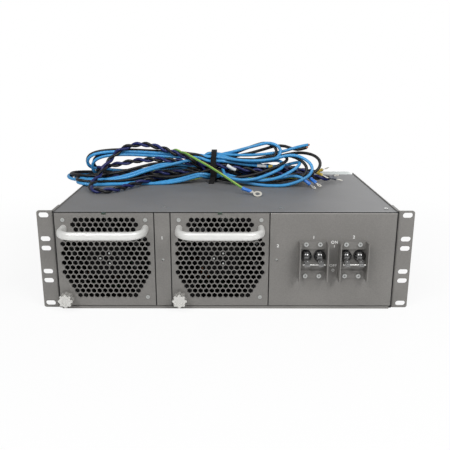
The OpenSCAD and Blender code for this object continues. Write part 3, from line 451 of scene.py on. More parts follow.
class Finish(Enum):
    """The finishes of the shelf, by the part they are on."""

    PAINT = PowderCoat("paint", linear("777572"))
    # The plates' grey paint, with painted shade along the seams beside them and under the
    # lid.
    PLATE_PAINT = PowderCoat("plate_paint", linear("777572"), seams=SEAMS)
    # The panel's grey paint, with a painted highlight along its top fold and painted
    # shade along its seams.
    PANEL_PAINT = PowderCoat(
        "panel_paint", linear("777572"), fold=((0, 0, 1), 0.1295), seams=SEAMS
    )
    # The lid's grey paint, with a painted highlight along its front edge.
    LID_PAINT = PowderCoat("lid_paint", linear("747475"), fold=((0, -1, 0), 0.0012))
    # Painted shade: a near-black finish for faces that stand in the shaded gaps between
    # the plates, lid and tray.
    GAP = PowderCoat("gap_paint", linear("101011"), 0.8)
    GALVANISED = Galvanised("galvanised", linear("c3cac8"))
    ZINC = Metal("zinc_plate", linear("c2c4c2"), 0.3, (1, 1, 1), 500.0, 0.8)
    # Painted shade: a dark finish for the walls and floors of the screws' cross recesses.
    RECESS = Metal("screw_recess", linear("3a3b3b"), 0.5, (1, 1, 1), 500.0)
    BAR = Metal("tie_bar_steel", linear("d0d0cd"), 0.26, (1, 1, 1), 3000.0, 0.9)
    HANDLE = Metal("handle_aluminium", linear("e6e6e3"), 0.36, (9, 1, 1), 240.0, 0.35)
    KNOB = Metal("knob_nickel", linear("e0dfdb"), 0.26, (1, 1, 1), 2500.0, 0.7)
    FAN = Plastic("fan_plastic", linear("0a0a0b"), 0.6, gloss=0.12)
    HOUSING = Plastic("breaker_plastic", linear("141416"), 0.3)
    TOGGLE = Plastic(
        "toggle_plastic", linear("4c4c4b"), 0.1, 300.0, 0.006, coat=1.0, gloss=0.95,
        core=((0, TOGGLE_Y, TOGGLE_Z), 0.0098, linear("0a0a0b")),
    )
    SOCKET = Plastic("socket_plastic", linear("202124"), 0.4)
    COPPER = Metal("copper_bar", linear("c77c50"), 0.3, (1, 1, 9), 200.0)
    BOARD = CircuitBoard("circuit_board", linear("1d4a2c"))
    SINK = Metal("heat_sink", linear("9ea2a4"), 0.4, (9, 1, 1), 220.0, 0.9)
    CAN = Plastic("capacitor_sleeve", linear("1d2742"), 0.3, 600.0, 0.02, 0.3)
    LAMP = Plastic("lamp_lens", linear("16301f"), 0.2, 500.0, 0.01, 0.3)
    # Painted shade: a near-black finish for the bay dividers, which are seen only in
    # shade through the gaps.
    INNER_PAINT = PowderCoat("inner_paint", linear("2c2c2d"))
    RUBBER = Plastic("bush_rubber", linear("161617"), 0.62, 1200.0, 0.15)
    BLUE_LEAD = LeadJacket("blue_lead", linear("3f97d2"), 0.3, 0.45)
    BLACK_LEAD = LeadJacket("black_lead", linear("101012"))
    NAVY_LEAD = LeadJacket("navy_lead", linear("1b2560"))
    EARTH_LEAD = LeadJacket("earth_lead", linear("70a848"), 0.36, 0.4, linear("cdd564"))
    STRAP = Webbing("hook_tape", linear("060607"))
    TIN = Metal("tinned_copper", linear("e6e3d9"), 0.3, (1, 1, 1), 700.0, 0.45)
    BLUE_SLEEVE = Plastic("blue_sleeve", linear("2c78d4"), 0.3, 500.0, 0.04, 0.2)
    YELLOW_SLEEVE = Plastic("yellow_sleeve", linear("c9b04a"), 0.34, 500.0, 0.04)
    GREY_SLEEVE = Plastic("grey_sleeve", linear("5c6068"), 0.36, 500.0, 0.04)
    MARKER = Plastic("marker_sleeve", linear("dfe2e2"), 0.5, 700.0, 0.03)
    PRINT = Plastic("white_print", linear("f4f4f2"), 0.55, 1500.0, 0.02)


class Paints:
    """Makes each finish once and puts it on the pieces."""

    def __init__(self) -> None:
        """Starts with no finish made."""
        self.made: dict[Finish, bpy.types.Material] = {}

    def get(self, finish: Finish) -> bpy.types.Material:
        """The material of a finish."""
        if finish not in self.made:
            self.made[finish] = finish.value.make()
        return self.made[finish]

    def dress(self, piece: Piece, finish: Finish) -> None:
        """Gives a whole piece one finish."""
        slots = piece.material_slots
        if not slots:
            piece.data.materials.append(self.get(finish))
        for slot in slots:
            slot.material = self.get(finish)
        LOG.info("%s: %s", piece.name, finish.value.name)

    def fit(self, piece: Piece, finish: Finish, slot: str) -> None:
        """Dresses a new piece and fixes it to the shelf."""
        self.dress(piece, finish)
        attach(piece, "shelf")

    def touch(self, piece: Piece, finish: Finish, wanted: Callable[[Face], bool]) -> None:
        """Gives some faces of a piece a finish of their own.

        Args:
            piece: the piece, dressed already.
            finish: the finish of the wanted faces.
            wanted: tells whether a face is one of them.
        """
        piece.data.materials.append(self.get(finish))
        last = len(piece.data.materials) - 1
        for face in piece.data.polygons:
            if wanted(face):
                face.material_index = last


# ------------------------------------------------------------------ modelling helpers


def deselect() -> None:
    """Leaves nothing selected and no piece in edit mode."""
    if bpy.context.object is not None and bpy.context.object.mode != "OBJECT":
        bpy.ops.object.mode_set(mode="OBJECT")
    bpy.ops.object.select_all(action="DESELECT")


def pick(piece: Piece) -> None:
    """Selects one piece alone and makes it the active one."""
    deselect()
    bpy.context.view_layer.objects.active = piece
    piece.select_set(True)


def edit(action: str = "SELECT") -> None:
    """Enters edit mode on the active piece, with all or nothing selected."""
    bpy.ops.object.mode_set(mode="EDIT")
    bpy.ops.mesh.select_all(action=action)


def choose(piece: Piece, wanted: Callable[[Face], bool]) -> None:
    """Enters edit mode with only the wanted faces selected."""
    for part in (*piece.data.vertices, *piece.data.edges):
        part.select = False
    for face in piece.data.polygons:
        face.select = wanted(face)
    bpy.context.tool_settings.mesh_select_mode = (False, False, True)
    bpy.ops.object.mode_set(mode="EDIT")


def settle(piece: Piece, name: str) -> None:
    """Applies a piece's place to its mesh and names it."""
    pick(piece)
    bpy.ops.object.transform_apply(location=True, rotation=True, scale=True)
    piece.name = name
    piece.data.name = name


def apply_modifier(piece: Piece, kind: str, **settings: object) -> None:
    """Adds a modifier with its settings and applies it."""
    pick(piece)
    modifier = piece.modifiers.new(kind.lower(), kind)
    for key, setting in settings.items():
        setattr(modifier, key, setting)
    bpy.ops.object.modifier_apply(modifier=modifier.name)


def smooth(piece: Piece, degrees: float = 35.0) -> None:
    """Shades a piece smooth up to an angle."""
    pick(piece)
    bpy.ops.object.shade_smooth_by_angle(angle=math.radians(degrees))


def facing(at: Vector, heading: Vector) -> Matrix:
    """The move that brings +Z along a heading, at a point."""
    turn = heading.to_track_quat("Z", "Y").to_matrix().to_4x4()
    return Matrix.Translation(at) @ turn




# ------------------------------------------------------------------ leads

Rows = np.ndarray


class Loop(Enum):
    """The ways of a lead between two passes of the strap, in millimetres, as laid."""

    LEFT_TOP = (
        (-52, 214, 150), (-95, 219, 145), (-140, 222, 141), (-180, 219, 141),
        (-207, 213, 145), (-219, 207, 152), (-221, 202, 161), (-216, 198, 170),
        (-204, 196, 176), (-184, 196, 179), (-160, 196, 179.5), (-120, 196, 177.5),
        (-88, 194, 175.5), (-59, 191, 174), (-42, 190, 173),
    )
    LEFT_MIDDLE = (
        (-42, 189, 171), (-59, 189, 168), (-85, 185, 163), (-107, 180, 158.5),
        (-128, 174, 152.5), (-149, 170, 144.5), (-166, 168, 140), (-186, 168, 138),
        (-210, 169, 137), (-233, 177, 136.5), (-249, 191, 136.3), (-257, 207, 136.3),
        (-255, 221, 136.3), (-243, 231, 136.3), (-222, 236, 136.5), (-180, 236, 138),
        (-130, 230, 142), (-75, 222, 147), (-48, 216, 152),
    )
    LEFT_INNER = (
        (-42, 194, 154), (-62, 193, 160), (-85, 189, 164.5), (-107, 184, 164),
        (-128, 181, 157.5), (-149, 178, 151), (-172, 175, 145), (-198, 174, 141),
        (-222, 178, 140), (-240, 190, 140), (-248, 204, 140), (-245, 218, 140),
        (-230, 227, 139.5), (-205, 231, 139), (-160, 228, 141), (-110, 222, 145),
        (-55, 213, 148),
    )
    LEFT_LOW = (
        (-42, 181, 147), (-54, 179, 145), (-72, 175, 141), (-95, 171, 138.5),
        (-132, 168, 138), (-165, 166, 136), (-190, 161, 135), (-210, 158, 135),
        (-222, 160, 135), (-230, 169, 135), (-232, 182, 135), (-228, 194, 135.5),
        (-220, 203, 136), (-195, 210, 136.5), (-160, 214, 137), (-110, 212, 138),
        (-55, 208, 141),
    )
    ARCH = (
        (-48, 206, 144), (-75, 196, 140), (-100, 180, 138), (-125, 160, 137.5),
        (-142, 140, 137), (-153, 122, 137), (-162, 108.5, 137), (-173, 100.5, 137),
        (-186, 100.5, 137), (-196, 108.5, 137.5), (-200.5, 122, 139), (-200, 137, 142),
        (-196, 152, 147.5), (-191, 166, 155.5), (-185, 178, 165), (-176, 187, 175),
        (-165, 191, 184), (-150, 193, 189.5), (-134, 193, 192), (-119, 192, 190.5),
        (-103, 192, 186.5), (-88, 191, 181.5), (-74, 190, 176.5), (-60, 188, 171),
        (-45, 187, 165),
    )
    LEFT_TWISTED = (
        (-50, 212, 146), (-100, 220, 142), (-150, 223, 140), (-180, 221, 140),
        (-199, 214, 142), (-208, 204, 146), (-206, 194.5, 151.5), (-195, 189, 156),
        (-180, 188, 159), (-163, 189, 162), (-145, 190, 165.5), (-125, 190, 167),
        (-105, 190, 167.5), (-85, 189, 167), (-62, 189, 165), (-45, 190, 161),
    )
    LEFT_UNDER = (
        (-55, 209, 143), (-110, 214, 140), (-155, 217, 138), (-182, 215.5, 138),
        (-198, 209, 138), (-205, 198, 138), (-200, 187, 139), (-187, 180, 140.5),
        (-160, 178, 143), (-132, 181, 146), (-105, 186, 147), (-75, 192, 148),
        (-45, 196, 150),
    )
    RIGHT_BIG = (
        (10, 184, 170), (30, 184, 168), (57, 181, 168.5), (77, 178, 172),
        (94, 175, 177.5), (108, 171, 178.5), (120, 166, 174.5), (129, 160, 168),
        (132, 155, 160.5), (128, 151, 152), (118, 149.5, 145), (104, 149, 139),
        (88, 148.5, 135), (70, 149, 134.2), (52, 152, 135.5), (31, 159, 139),
        (12, 167, 141.5), (-1, 176, 144),
    )
    RIGHT_SECOND = (
        (10, 188, 165), (30, 188, 163), (60, 187, 161.5), (80, 187, 162),
        (97, 186, 164.5), (112, 182, 169), (119, 175, 171), (118, 167, 169),
        (111, 161, 163.5), (99, 156, 157), (82, 152, 150), (62, 152, 146),
        (43, 156, 144.5), (18, 165, 144), (0, 176, 144.5),
    )
    RIGHT_OUTER = (
        (10, 190, 160), (60, 193, 166), (91, 195, 174), (117, 193, 177.5),
        (137, 191, 174), (147, 187, 167), (149, 183, 158), (142, 178, 149),
        (124, 173, 143), (100, 168, 140), (70, 163, 139), (40, 162, 140),
        (14, 168, 141), (0, 176, 142),
    )
    RIGHT_THIRD = (
        (10, 196, 162), (30, 194, 164), (52, 192, 168), (69, 190, 171),
        (82, 187.5, 172.3), (90.5, 181, 171.5), (94, 172.5, 168.5), (90, 164, 164.5),
        (80, 157.5, 160), (67, 154, 155), (52, 154, 149.5), (33, 156, 145),
        (14, 163, 143), (0, 172, 143),
    )
    RIGHT_CURL = (
        (8, 206, 175), (30, 202, 183), (51, 199, 190), (65, 196, 193.7),
        (76, 191.5, 192.3), (83.5, 186.5, 187), (85, 182, 179.5), (79, 179.5, 172.8),
        (67, 180, 168.5),
        (48, 185, 167), (24, 190, 168), (4, 193, 171),
    )
    RIGHT_REAR = (
        (8, 192, 150), (40, 197, 150), (78, 202, 148), (106, 206, 144), (127, 212.5, 140),
        (137.5, 222, 138.5), (136, 232.5, 138), (123, 238.5, 138), (98, 240, 138.5),
        (60, 235, 141), (30, 226, 146), (8, 218, 149),
    )


class Tail(Enum):
    """The last way of a lead, from the strap to its end, in millimetres."""

    TOP = (
        (8, 204, 174), (40, 201, 174), (68, 198, 176.5), (91, 196, 180.5),
        (110, 194, 186.5), (122, 192.5, 190), (129, 191.5, 191.5),
    )
    TOP_BEHIND = (
        (8, 208, 172), (35, 205, 176), (60, 203, 183), (78, 201, 188.5), (92, 199, 189.5),
        (104, 196.5, 186.5), (114, 193, 184.5), (122, 190.5, 186), (128, 189.5, 188),
    )
    FRONT = (
        (8, 192, 140), (35, 184, 138), (60, 174, 138), (81, 168, 142), (97, 164.5, 146.5),
        (108, 161, 148), (116, 156, 146.5), (121, 151, 143),
    )
    FRONT_BEHIND = (
        (8, 198, 141), (40, 190, 140), (70, 180, 141), (92, 173, 146), (108, 169, 149.5),
        (119, 165, 149.5), (127, 160, 147), (132, 154.5, 143.5),
    )
    RIGHT = (
        (8, 187, 156), (40, 185, 153), (72, 184, 148), (104, 185, 143.5),
        (117, 186, 144.5),
        (134, 187, 143), (148, 189, 139.5), (160, 192, 138.5), (167, 194, 138.5),
    )
    MIDDLE = (
        (8, 196, 150), (45, 197, 152), (80, 198, 152), (108, 197, 149.5), (130, 195, 148),
        (146, 193, 148),
    )
    EARTH = (
        (-42, 181, 141), (-58, 178, 138.5), (-73, 177, 138), (-92, 181, 138.5),
        (-108, 190, 141), (-116, 200, 147), (-112, 207, 156), (-102, 209, 166),
        (-92, 205, 174.5), (-84, 198, 180.5), (-77, 190.5, 182.5), (-70, 184, 180),
        (-63, 172, 180.6), (-45, 158, 173), (-27, 145, 165.5), (-10, 129, 157.8),
        (2, 118, 151.8), (14, 108, 145.6), (24.8, 100.4, 139.9),
    )


EARTH_LEAD_IN = (
    (133, 246, 133.5), (131, 236, 135), (128, 222, 138), (125, 200, 142),
    (122, 182, 144.5),
    (115, 170, 145), (105, 166, 145), (94, 167, 144), (82, 170, 141.5), (60, 175, 139),
    (35, 180, 139.5), (12, 185, 141),
)
# From this point of its tail on, the earth lead stays where it is drawn.
EARTH_HELD_FROM = 11


@dataclass
class Route:
    """One lead's way through the hank, in millimetres.

    Attributes:
        name: the lead's name.
        bush_x: where it leaves the rear cover.
        radius: its radius, over both strands where it is twisted.
        ways: for each pass of the strap its (y, z) there, and the way that follows.
        stray: how far its loops stray from the drawn ones.
        inward: how far its loops lie nearer the strap than the drawn ones.
        lead_in: its way to the strap, where it isn't the usual one.
        line: its final points on the lid, once it is laid.
    """

    name: str
    bush_x: float
    radius: float
    ways: tuple[tuple[tuple[float, float], Loop | Tail], ...]
    stray: float = 0.0
    inward: Point = (0.0, 0.0, 0.0)
    lead_in: tuple[Point, ...] = ()
    line: Rows = field(default_factory=lambda: np.zeros((0, 3)))


def spaced_curve(points: Rows, step: float) -> Rows:
    """A smooth line through points, cut into even steps.

    Args:
        points: the points to pass through, one row each.
        step: the wanted distance between the points of the result.

    Returns:
        The new points, one row each.
    """
    ends = np.vstack([2 * points[0] - points[1], points, 2 * points[-1] - points[-2]])
    fine = []
    for i in range(1, len(ends) - 2):
        a, b, c, d = ends[i - 1 : i + 3]
        t1 = np.linalg.norm(b - a) ** 0.5
        t2 = t1 + np.linalg.norm(c - b) ** 0.5
        t3 = t2 + np.linalg.norm(d - c) ** 0.5
        t = np.linspace(t1, t2, 12, endpoint=False)[:, None]
        a1 = (t1 - t) / t1 * a + t / t1 * b
        a2 = (t2 - t) / (t2 - t1) * b + (t - t1) / (t2 - t1) * c
        a3 = (t3 - t) / (t3 - t2) * c + (t - t2) / (t3 - t2) * d
        b1 = (t2 - t) / t2 * a1 + t / t2 * a2
        b2 = (t3 - t) / (t3 - t1) * a2 + (t - t1) / (t3 - t1) * a3
        fine.append((t2 - t) / (t2 - t1) * b1 + (t - t1) / (t2 - t1) * b2)
    fine = np.vstack([*fine, points[-1:]])
    return resampled(fine, step)


def resampled(line: Rows, step: float) -> Rows:
    """Cuts a line into even steps."""
    along = np.r_[0, np.cumsum(np.linalg.norm(np.diff(line, axis=0), axis=1))]
    count = max(2, int(round(along[-1] / step)) + 1)
    wanted = np.linspace(0, along[-1], count)
    return np.stack([np.interp(wanted, along, line[:, k]) for k in range(3)], 1)


@dataclass
class HankLayout:
    """Lays the leads of the hank beside and over each other, in millimetres.

    Attributes:
        pinch: half the length over which the strap holds the leads together.
        bundle_r: the inner radius of the strap.
        wall_z, wall_x: the top of the side walls, and where they start.
        rear_y, top_z: the limits behind and above.
        follow: the share of its neighbours' move that a point takes over.
        keep: the share of its move that a point keeps from round to round.
        ease: the share of a bend that straightens in a round.
        tighten: the share of a stretched step that closes in a round.
        sink: how far the leads sink in a round.
        push: the share of an overlap that each lead gives way.
        crowding: the cost of an overlap in the strap.
    """

    strap_x: float = -18.0
    strap_y: float = 203.0
    strap_z: float = 156.3
    pinch: float = 9.0
    bundle_r: float = 23.35
    lid_z: float = 131.3
    wall_z: float = 132.6
    wall_x: float = 214.3
    rear_y: float = 245.0
    top_z: float = 197.5
    step: float = 7.0
    rounds: int = 170
    gap: float = 0.25
    follow: float = 0.4
    keep: float = 0.985
    ease: float = 0.03
    tighten: float = 0.2
    sink: float = 0.02
    push: float = 0.42
    crowding: float = 12.0

    def strayed(self, rng: np.random.Generator, way: Loop, route: Route) -> Rows:
        """A loop, moved and waved a little, and held at both ends."""
        points = np.array(way.value, float)
        phase = np.linspace(0, np.pi, len(points))
        shift = rng.normal(0, 1, 3) * route.stray * np.array([1, 1, 0.3])
        waves = rng.normal(0, 1, (3, 3)) * route.stray * 0.35 * np.array([1, 1, 0.5])
        side = -1.0 if points[0, 0] > self.strap_x else 1.0
        shift += np.array(route.inward) * np.array([side, 1, 1])
        points += np.minimum(1, 1.6 * np.sin(phase))[:, None] * shift
        for k in range(3):
            points += np.sin(phase * (k + 1))[:, None] * waves[k]
        return points

    def entry(self, route: Route) -> list[Point]:
        """The way from behind the hank towards the strap."""
        if route.lead_in:
            return list(route.lead_in)
        x, z = route.bush_x, self.lid_z + 0.2 + route.radius
        rise = route.ways[0][0][1] - 2
        turn = x if x < 100 else x - 2
        points = [(x, 246, z), (x - 3, 232, z + 1.5), (turn - 14, 220, z + 6.5)]
        if x < 100:
            return [*points, (x - 34, 214, rise - 3)]
        return [*points, (x - 42, 214, rise - 2), (x - 75, 210, rise)]

    def pinched(self, routes: list[Route], drafts: list[list]) -> None:
        """Gives each pass of the strap its own place in it, near the wanted one."""
        passes = []
        for route, draft in zip(routes, drafts):
            slots = [at for at, item in enumerate(draft) if item is None][::2]
            for at, (want, _) in zip(slots, route.ways):
                passes.append((route, draft, at, np.array(want)))
        passes.sort(key=lambda one: -one[0].radius)
        placed: list[tuple[Rows, float]] = []
        for route, draft, at, want in passes:
            spots = []
            for ring in np.linspace(0, self.bundle_r - route.radius, 10):
                turns = np.linspace(0, 2 * np.pi, max(1, int(ring * 2.2)), endpoint=False)
                spots += [(ring * np.cos(t), ring * np.sin(t)) for t in turns]
            spots = np.array(spots) + [self.strap_y, self.strap_z]
            cost = np.linalg.norm(spots - want, axis=1)
            for spot, radius in placed:
                near = np.linalg.norm(spots - spot, axis=1)
                cost += self.crowding * np.clip(route.radius + radius - near, 0, None)
            best = spots[np.argmin(cost)]
            placed.append((best, route.radius))
            reach = self.pinch if draft[at - 1][0] < draft[at + 2][0] else -self.pinch
            draft[at] = (self.strap_x - reach, *best)
            draft[at + 1] = (self.strap_x + reach, *best)

    def lay(self, routes: list[Route]) -> None:
        """Gives each route its final line."""
        rng = np.random.default_rng(4)
        drafts = []
        for route in routes:
            draft: list = self.entry(route)
            for _, way in route.ways:
                loose = isinstance(way, Loop)
                points = self.strayed(rng, way, route) if loose else way.value
                draft += [None, None, *map(tuple, points)]
            drafts.append(draft)
        self.pinched(routes, drafts)
        lines = [spaced_curve(np.array(draft, float), self.step) for draft in drafts]
        self.settle(routes, lines)

    def settle(self, routes: list[Route], lines: list[Rows]) -> None:
        """Pushes the leads apart, keeps them smooth and lets them sink on the lid."""
        sizes = [len(line) for line in lines]
        ids = np.repeat(np.arange(len(lines)), sizes)
        place = np.concatenate([np.arange(n) for n in sizes])
        radius = np.array([routes[i].radius for i in ids])
        at = np.vstack(lines)
        start = at.copy()
        held = place < 2
        fixed = np.array(Tail.EARTH.value[EARTH_HELD_FROM])
        for i, route in enumerate(routes):
            if route.ways[-1][1] is Tail.EARTH:
                leaves = np.linalg.norm(start - fixed, axis=1)
                first = int(np.argmin(np.where(ids == i, leaves, 1e9)))
                held |= (ids == i) & (np.arange(len(ids)) >= first)
        same = ids[1:] == ids[:-1]
        inner = np.flatnonzero(np.r_[False, same] & np.r_[same, False])
        reach = radius[:, None] + radius[None, :] + self.gap
        floor = np.where(np.abs(start[:, 0]) > self.wall_x, self.wall_z, self.lid_z)
        for _ in range(self.rounds):
            moved = at - start
            between = (moved[inner - 1] + moved[inner + 1]) / 2
            moved[inner] += self.follow * (between - moved[inner])
            at = start + self.keep * moved
            middle = (at[inner - 1] + at[inner + 1]) / 2
            at[inner] += self.ease * (middle - at[inner])
            step = at[1:] - at[:-1]
            long = np.maximum(np.linalg.norm(step, axis=1), 1e-6)
            pull = (self.tighten * (long - self.step) / long * same)[:, None] * step
            at[:-1] += pull
            at[1:] -= pull
            at[:, 2] -= self.sink
            at += self.apart(at, ids, place, held, reach)
            self.confine(at, place, held, radius, floor)
            at[held] = start[held]
        cuts = np.cumsum(sizes)[:-1]
        for route, line in zip(routes, np.split(at, cuts)):
            route.line = line

    def apart(self, at: Rows, ids: Rows, place: Rows, held: Rows, reach: Rows) -> Rows:
        """How far each point moves to get clear of its neighbours.

        Args:
            at: the points of all leads.
            ids: the lead of each point.
            place: its number along its lead.
            held: whether it stays where it is.
            reach: how near each two points may come.

        Returns:
            The move of each point.
        """
        square = (at**2).sum(1)
        gaps = square[:, None] + square[None, :] - 2 * at @ at.T
        a, b = np.nonzero(np.triu(gaps < reach**2, 1))
        keep = (ids[a] != ids[b]) | (np.abs(place[a] - place[b]) >= 4)
        a, b = a[keep], b[keep]
        between = at[b] - at[a]
        far = np.maximum(np.linalg.norm(between, axis=1), 1e-3)
        push = (self.push * (reach[a, b] - far) / far)[:, None] * between
        moved = np.zeros_like(at)
        met = np.zeros(len(at))
        np.add.at(moved, a, -push * np.where(held[b], 2.0, 1.0)[:, None])
        np.add.at(moved, b, push * np.where(held[a], 2.0, 1.0)[:, None])
        np.add.at(met, a, 1)
        np.add.at(met, b, 1)
        return moved / np.maximum(1, met * 0.6)[:, None]

    def confine(
        self, at: Rows, place: Rows, held: Rows, radius: Rows, floor: Rows
    ) -> None:
        """Keeps the points in the strap, on the lid and in front of the rear edge.

        Args:
            at: the points of all leads, which are moved.
            place: the number of each point along its lead.
            held: whether it stays where it is.
            radius: the radius of its lead.
            floor: the height that it lies on.
        """
        away = at[:, 1:] - [self.strap_y, self.strap_z]
        far = np.linalg.norm(away, axis=1)
        room = self.bundle_r - radius
        out = (np.abs(at[:, 0] - self.strap_x) < self.pinch) & (far > room) & ~held
        out &= at[:, 1] > 150
        back = away[out] * (room[out] / far[out])[:, None]
        at[out, 1:] = back + [self.strap_y, self.strap_z]
        at[:, 2] = np.clip(at[:, 2], floor + radius, self.top_z - radius)
        rear = np.minimum(at[:, 1], self.rear_y - radius)
        at[:, 1] = np.where(place > 3, rear, at[:, 1])


@dataclass
class Leads:
    """The feed, output and earth leads and their markers, in millimetres.

    Attributes:
        bores: each lead's radius, and the room round it in its bush.
        fine: the distance between two points of a finished lead.
        ends: each finished lead's last point and its heading there, in metres.
        markers: the name, finish, place and length of each marker sleeve.
    """

    paints: Paints
    cover_y: float = 291.0
    bush_z: float = 72.0
    lid_z: float = 131.3
    feed_r: float = 2.4
    output_r: float = 4.5
    strand_r: float = 2.2
    strand_off: float = 2.25
    twist: float = 33.0
    earth_r: float = 1.65
    bores: tuple[tuple[float, float], ...] = ((2.4, 0.62), (4.5, 1.4), (1.65, 0.9))
    fine: float = 3.5
    ends: dict[str, tuple[Vector, Vector]] = field(default_factory=dict)
    markers: tuple[tuple[str, Finish, Point, float], ...] = (
        ("marker_front", Finish.MARKER, (8, 182, 150), 13.0),
        ("marker_back", Finish.MARKER, (58, 188, 159), 12.0),
        ("marker_ring", Finish.YELLOW_SLEEVE, (71, 189, 160), 3.0),
    )

    def bushes(self) -> list[tuple[str, Point, float, float]]:
        """Each lead's name, where it leaves its bush, its radius and its room."""
        found = []
        for route in self.routes():
            at = (route.bush_x * MM, (self.cover_y + 2.3) * MM, self.bush_z * MM)
            room = dict(self.bores)[route.radius] * MM
            found.append((route.name, at, (route.radius + 0.04) * MM, room))
        return found

    def mark(self, cords: dict[str, Piece]) -> None:
        """Slips the marker sleeves over the leads nearest to their places."""
        lines = {
            name: np.array([p.co[:3] for p in cord.data.splines[0].points])
            for name, cord in cords.items()
        }
        for name, finish, target, length in self.markers:
            aim = np.array(target) * MM
            away = {lead: np.linalg.norm(lines[lead] - aim, axis=1) for lead in lines}
            lead = min(away, key=lambda one: away[one].min())
            line, middle = lines[lead], int(np.argmin(away[lead]))
            half = max(1, round(length / 2 / self.fine))
            run = line[middle - half : middle + half + 1]
            pick(self.cord(name, run, (self.feed_r + 0.45) * MM, finish, "terminal"))
            bpy.ops.object.convert(target="MESH")

    def routes(self) -> list[Route]:
        """The leads of the five bushes, from the left."""
        feed, output = self.feed_r, self.output_r
        return [
            Route("feed_blue_1", 53.85, feed, (
                ((222, 153), Loop.LEFT_TOP), ((188.5, 171), Loop.RIGHT_BIG),
                ((184.5, 147.5), Loop.LEFT_LOW), ((213, 172), Loop.RIGHT_CURL),
                ((194, 174.5), Loop.LEFT_MIDDLE), ((203, 176.5), Tail.TOP),
            ), stray=0.8),
            Route("feed_black_1", 60.15, feed, (
                ((222, 159), Loop.LEFT_TOP), ((194, 168.5), Loop.RIGHT_BIG),
                ((184, 153.5), Loop.LEFT_LOW), ((217, 167), Loop.RIGHT_CURL),
                ((199, 171), Loop.LEFT_MIDDLE), ((208.5, 175.5), Tail.TOP_BEHIND),
            ), stray=1.5, inward=(5, 4, -1)),
            Route("feed_blue_2", 72.85, feed, (
                ((219, 146), Loop.LEFT_TOP), ((185.5, 165.5), Loop.RIGHT_SECOND),
                ((188, 142.5), Loop.LEFT_LOW), ((205, 165), Loop.RIGHT_THIRD),
                ((193, 149.5), Loop.LEFT_INNER), ((199, 137), Tail.FRONT),
            ), stray=1.5, inward=(3, -3, -3)),
            Route("feed_black_2", 79.15, feed, (
                ((214, 141), Loop.LEFT_TOP), ((190, 161.5), Loop.RIGHT_OUTER),
                ((193, 139.5), Loop.LEFT_LOW), ((210, 161), Loop.RIGHT_THIRD),
                ((196, 145), Loop.LEFT_INNER), ((204.5, 136.5), Tail.FRONT_BEHIND),
            ), stray=1.5, inward=(-2, 4, 2)),
            Route("output_1", 95, output, (
                ((211, 150), Loop.ARCH), ((187, 159), Tail.RIGHT),
            ), stray=1.0),
            Route("output_2", 114, output, (
                ((218, 157), Loop.LEFT_TWISTED), ((190, 152), Loop.RIGHT_REAR),
                ((213, 163), Loop.LEFT_UNDER), ((199, 147), Tail.MIDDLE),
            ), stray=1.0),
            Route("earth", 133, self.earth_r, (((190, 142), Tail.EARTH),),
                  lead_in=EARTH_LEAD_IN),
        ]

    def rear(self, route: Route) -> Rows:
        """The way out of the bush and up over the rear edge, as the solids take it."""
        low = ((-5, 0, 0), (12, 0, 0), (34, 9, 0.1), (43, 30, 0.5))
        high = ((34, -8.3, 0.9), (12, 0.2, 1), (-16, 0.2, 1))
        points = [
            (route.bush_x, self.cover_y + y, base + z + k * route.radius)
            for base, way in ((self.bush_z, low), (self.lid_z, high))
            for y, z, k in way
        ]
        return np.array(points)

    def centre(self, route: Route) -> Rows:
        """The whole centreline of a route, in metres."""
        line = np.vstack([self.rear(route), route.line])
        return spaced_curve(line, self.fine) * MM

    def strand(self, line: Rows, phase: float) -> Rows:
        """One strand of a twisted lead.

        Args:
            line: the lead's centreline, in metres.
            phase: where the strand starts round the centreline, in radians.

        Returns:
            The strand's own centreline, in metres.
        """
        heading = np.gradient(line, axis=0)
        heading /= np.linalg.norm(heading, axis=1)[:, None]
        side = np.cross(heading[0], [0.0, 0.0, 1.0])
        along = np.r_[0, np.cumsum(np.linalg.norm(np.diff(line, axis=0), axis=1))]
        out = []
        for i, at in enumerate(line):
            side = side - heading[i] * (side @ heading[i])
            side /= np.linalg.norm(side)
            up = np.cross(heading[i], side)
            wander = 0.35 * math.sin(along[i] / (self.twist * MM) * 0.9)
            turn = phase + 2 * math.pi * along[i] / (self.twist * MM) + wander
            offset = math.cos(turn) * side + math.sin(turn) * up
            out.append(at + offset * self.strand_off * MM)
        return np.array(out)

    def cord(
        self, name: str, line: Rows, radius: float, finish: Finish, slot: str
    ) -> Piece:
        """Makes a lead as a round curve.

        Args:
            name: the piece's name.
            line: its centreline, in metres.
            radius: its radius, in metres.
            finish: its jacket.
            slot: the record's material slot; not used.

        Returns:
            The curve object.
        """
        curve = bpy.data.curves.new(name, "CURVE")
        curve.dimensions = "3D"
        curve.bevel_depth = radius
        curve.bevel_resolution = 3
        curve.use_fill_caps = True
        spline = curve.splines.new("POLY")
        spline.points.add(len(line) - 1)
        spline.points.foreach_set("co", np.c_[line, np.ones(len(line))].ravel())
        spline.use_smooth = True
        piece = bpy.data.objects.new(name, curve)
        bpy.context.scene.collection.objects.link(piece)
        self.paints.fit(piece, finish, slot)
        tip = Vector(line[-1])
        self.ends[name] = (tip, (tip - Vector(line[-3])).normalized())
        return piece

    def radius(self, name: str) -> float:
        """The radius of a lead or strand, in metres, by the first word of its name."""
        kinds = {"feed": self.feed_r, "output": self.strand_r, "earth": self.earth_r}
        return kinds[name.split("_")[0]] * MM

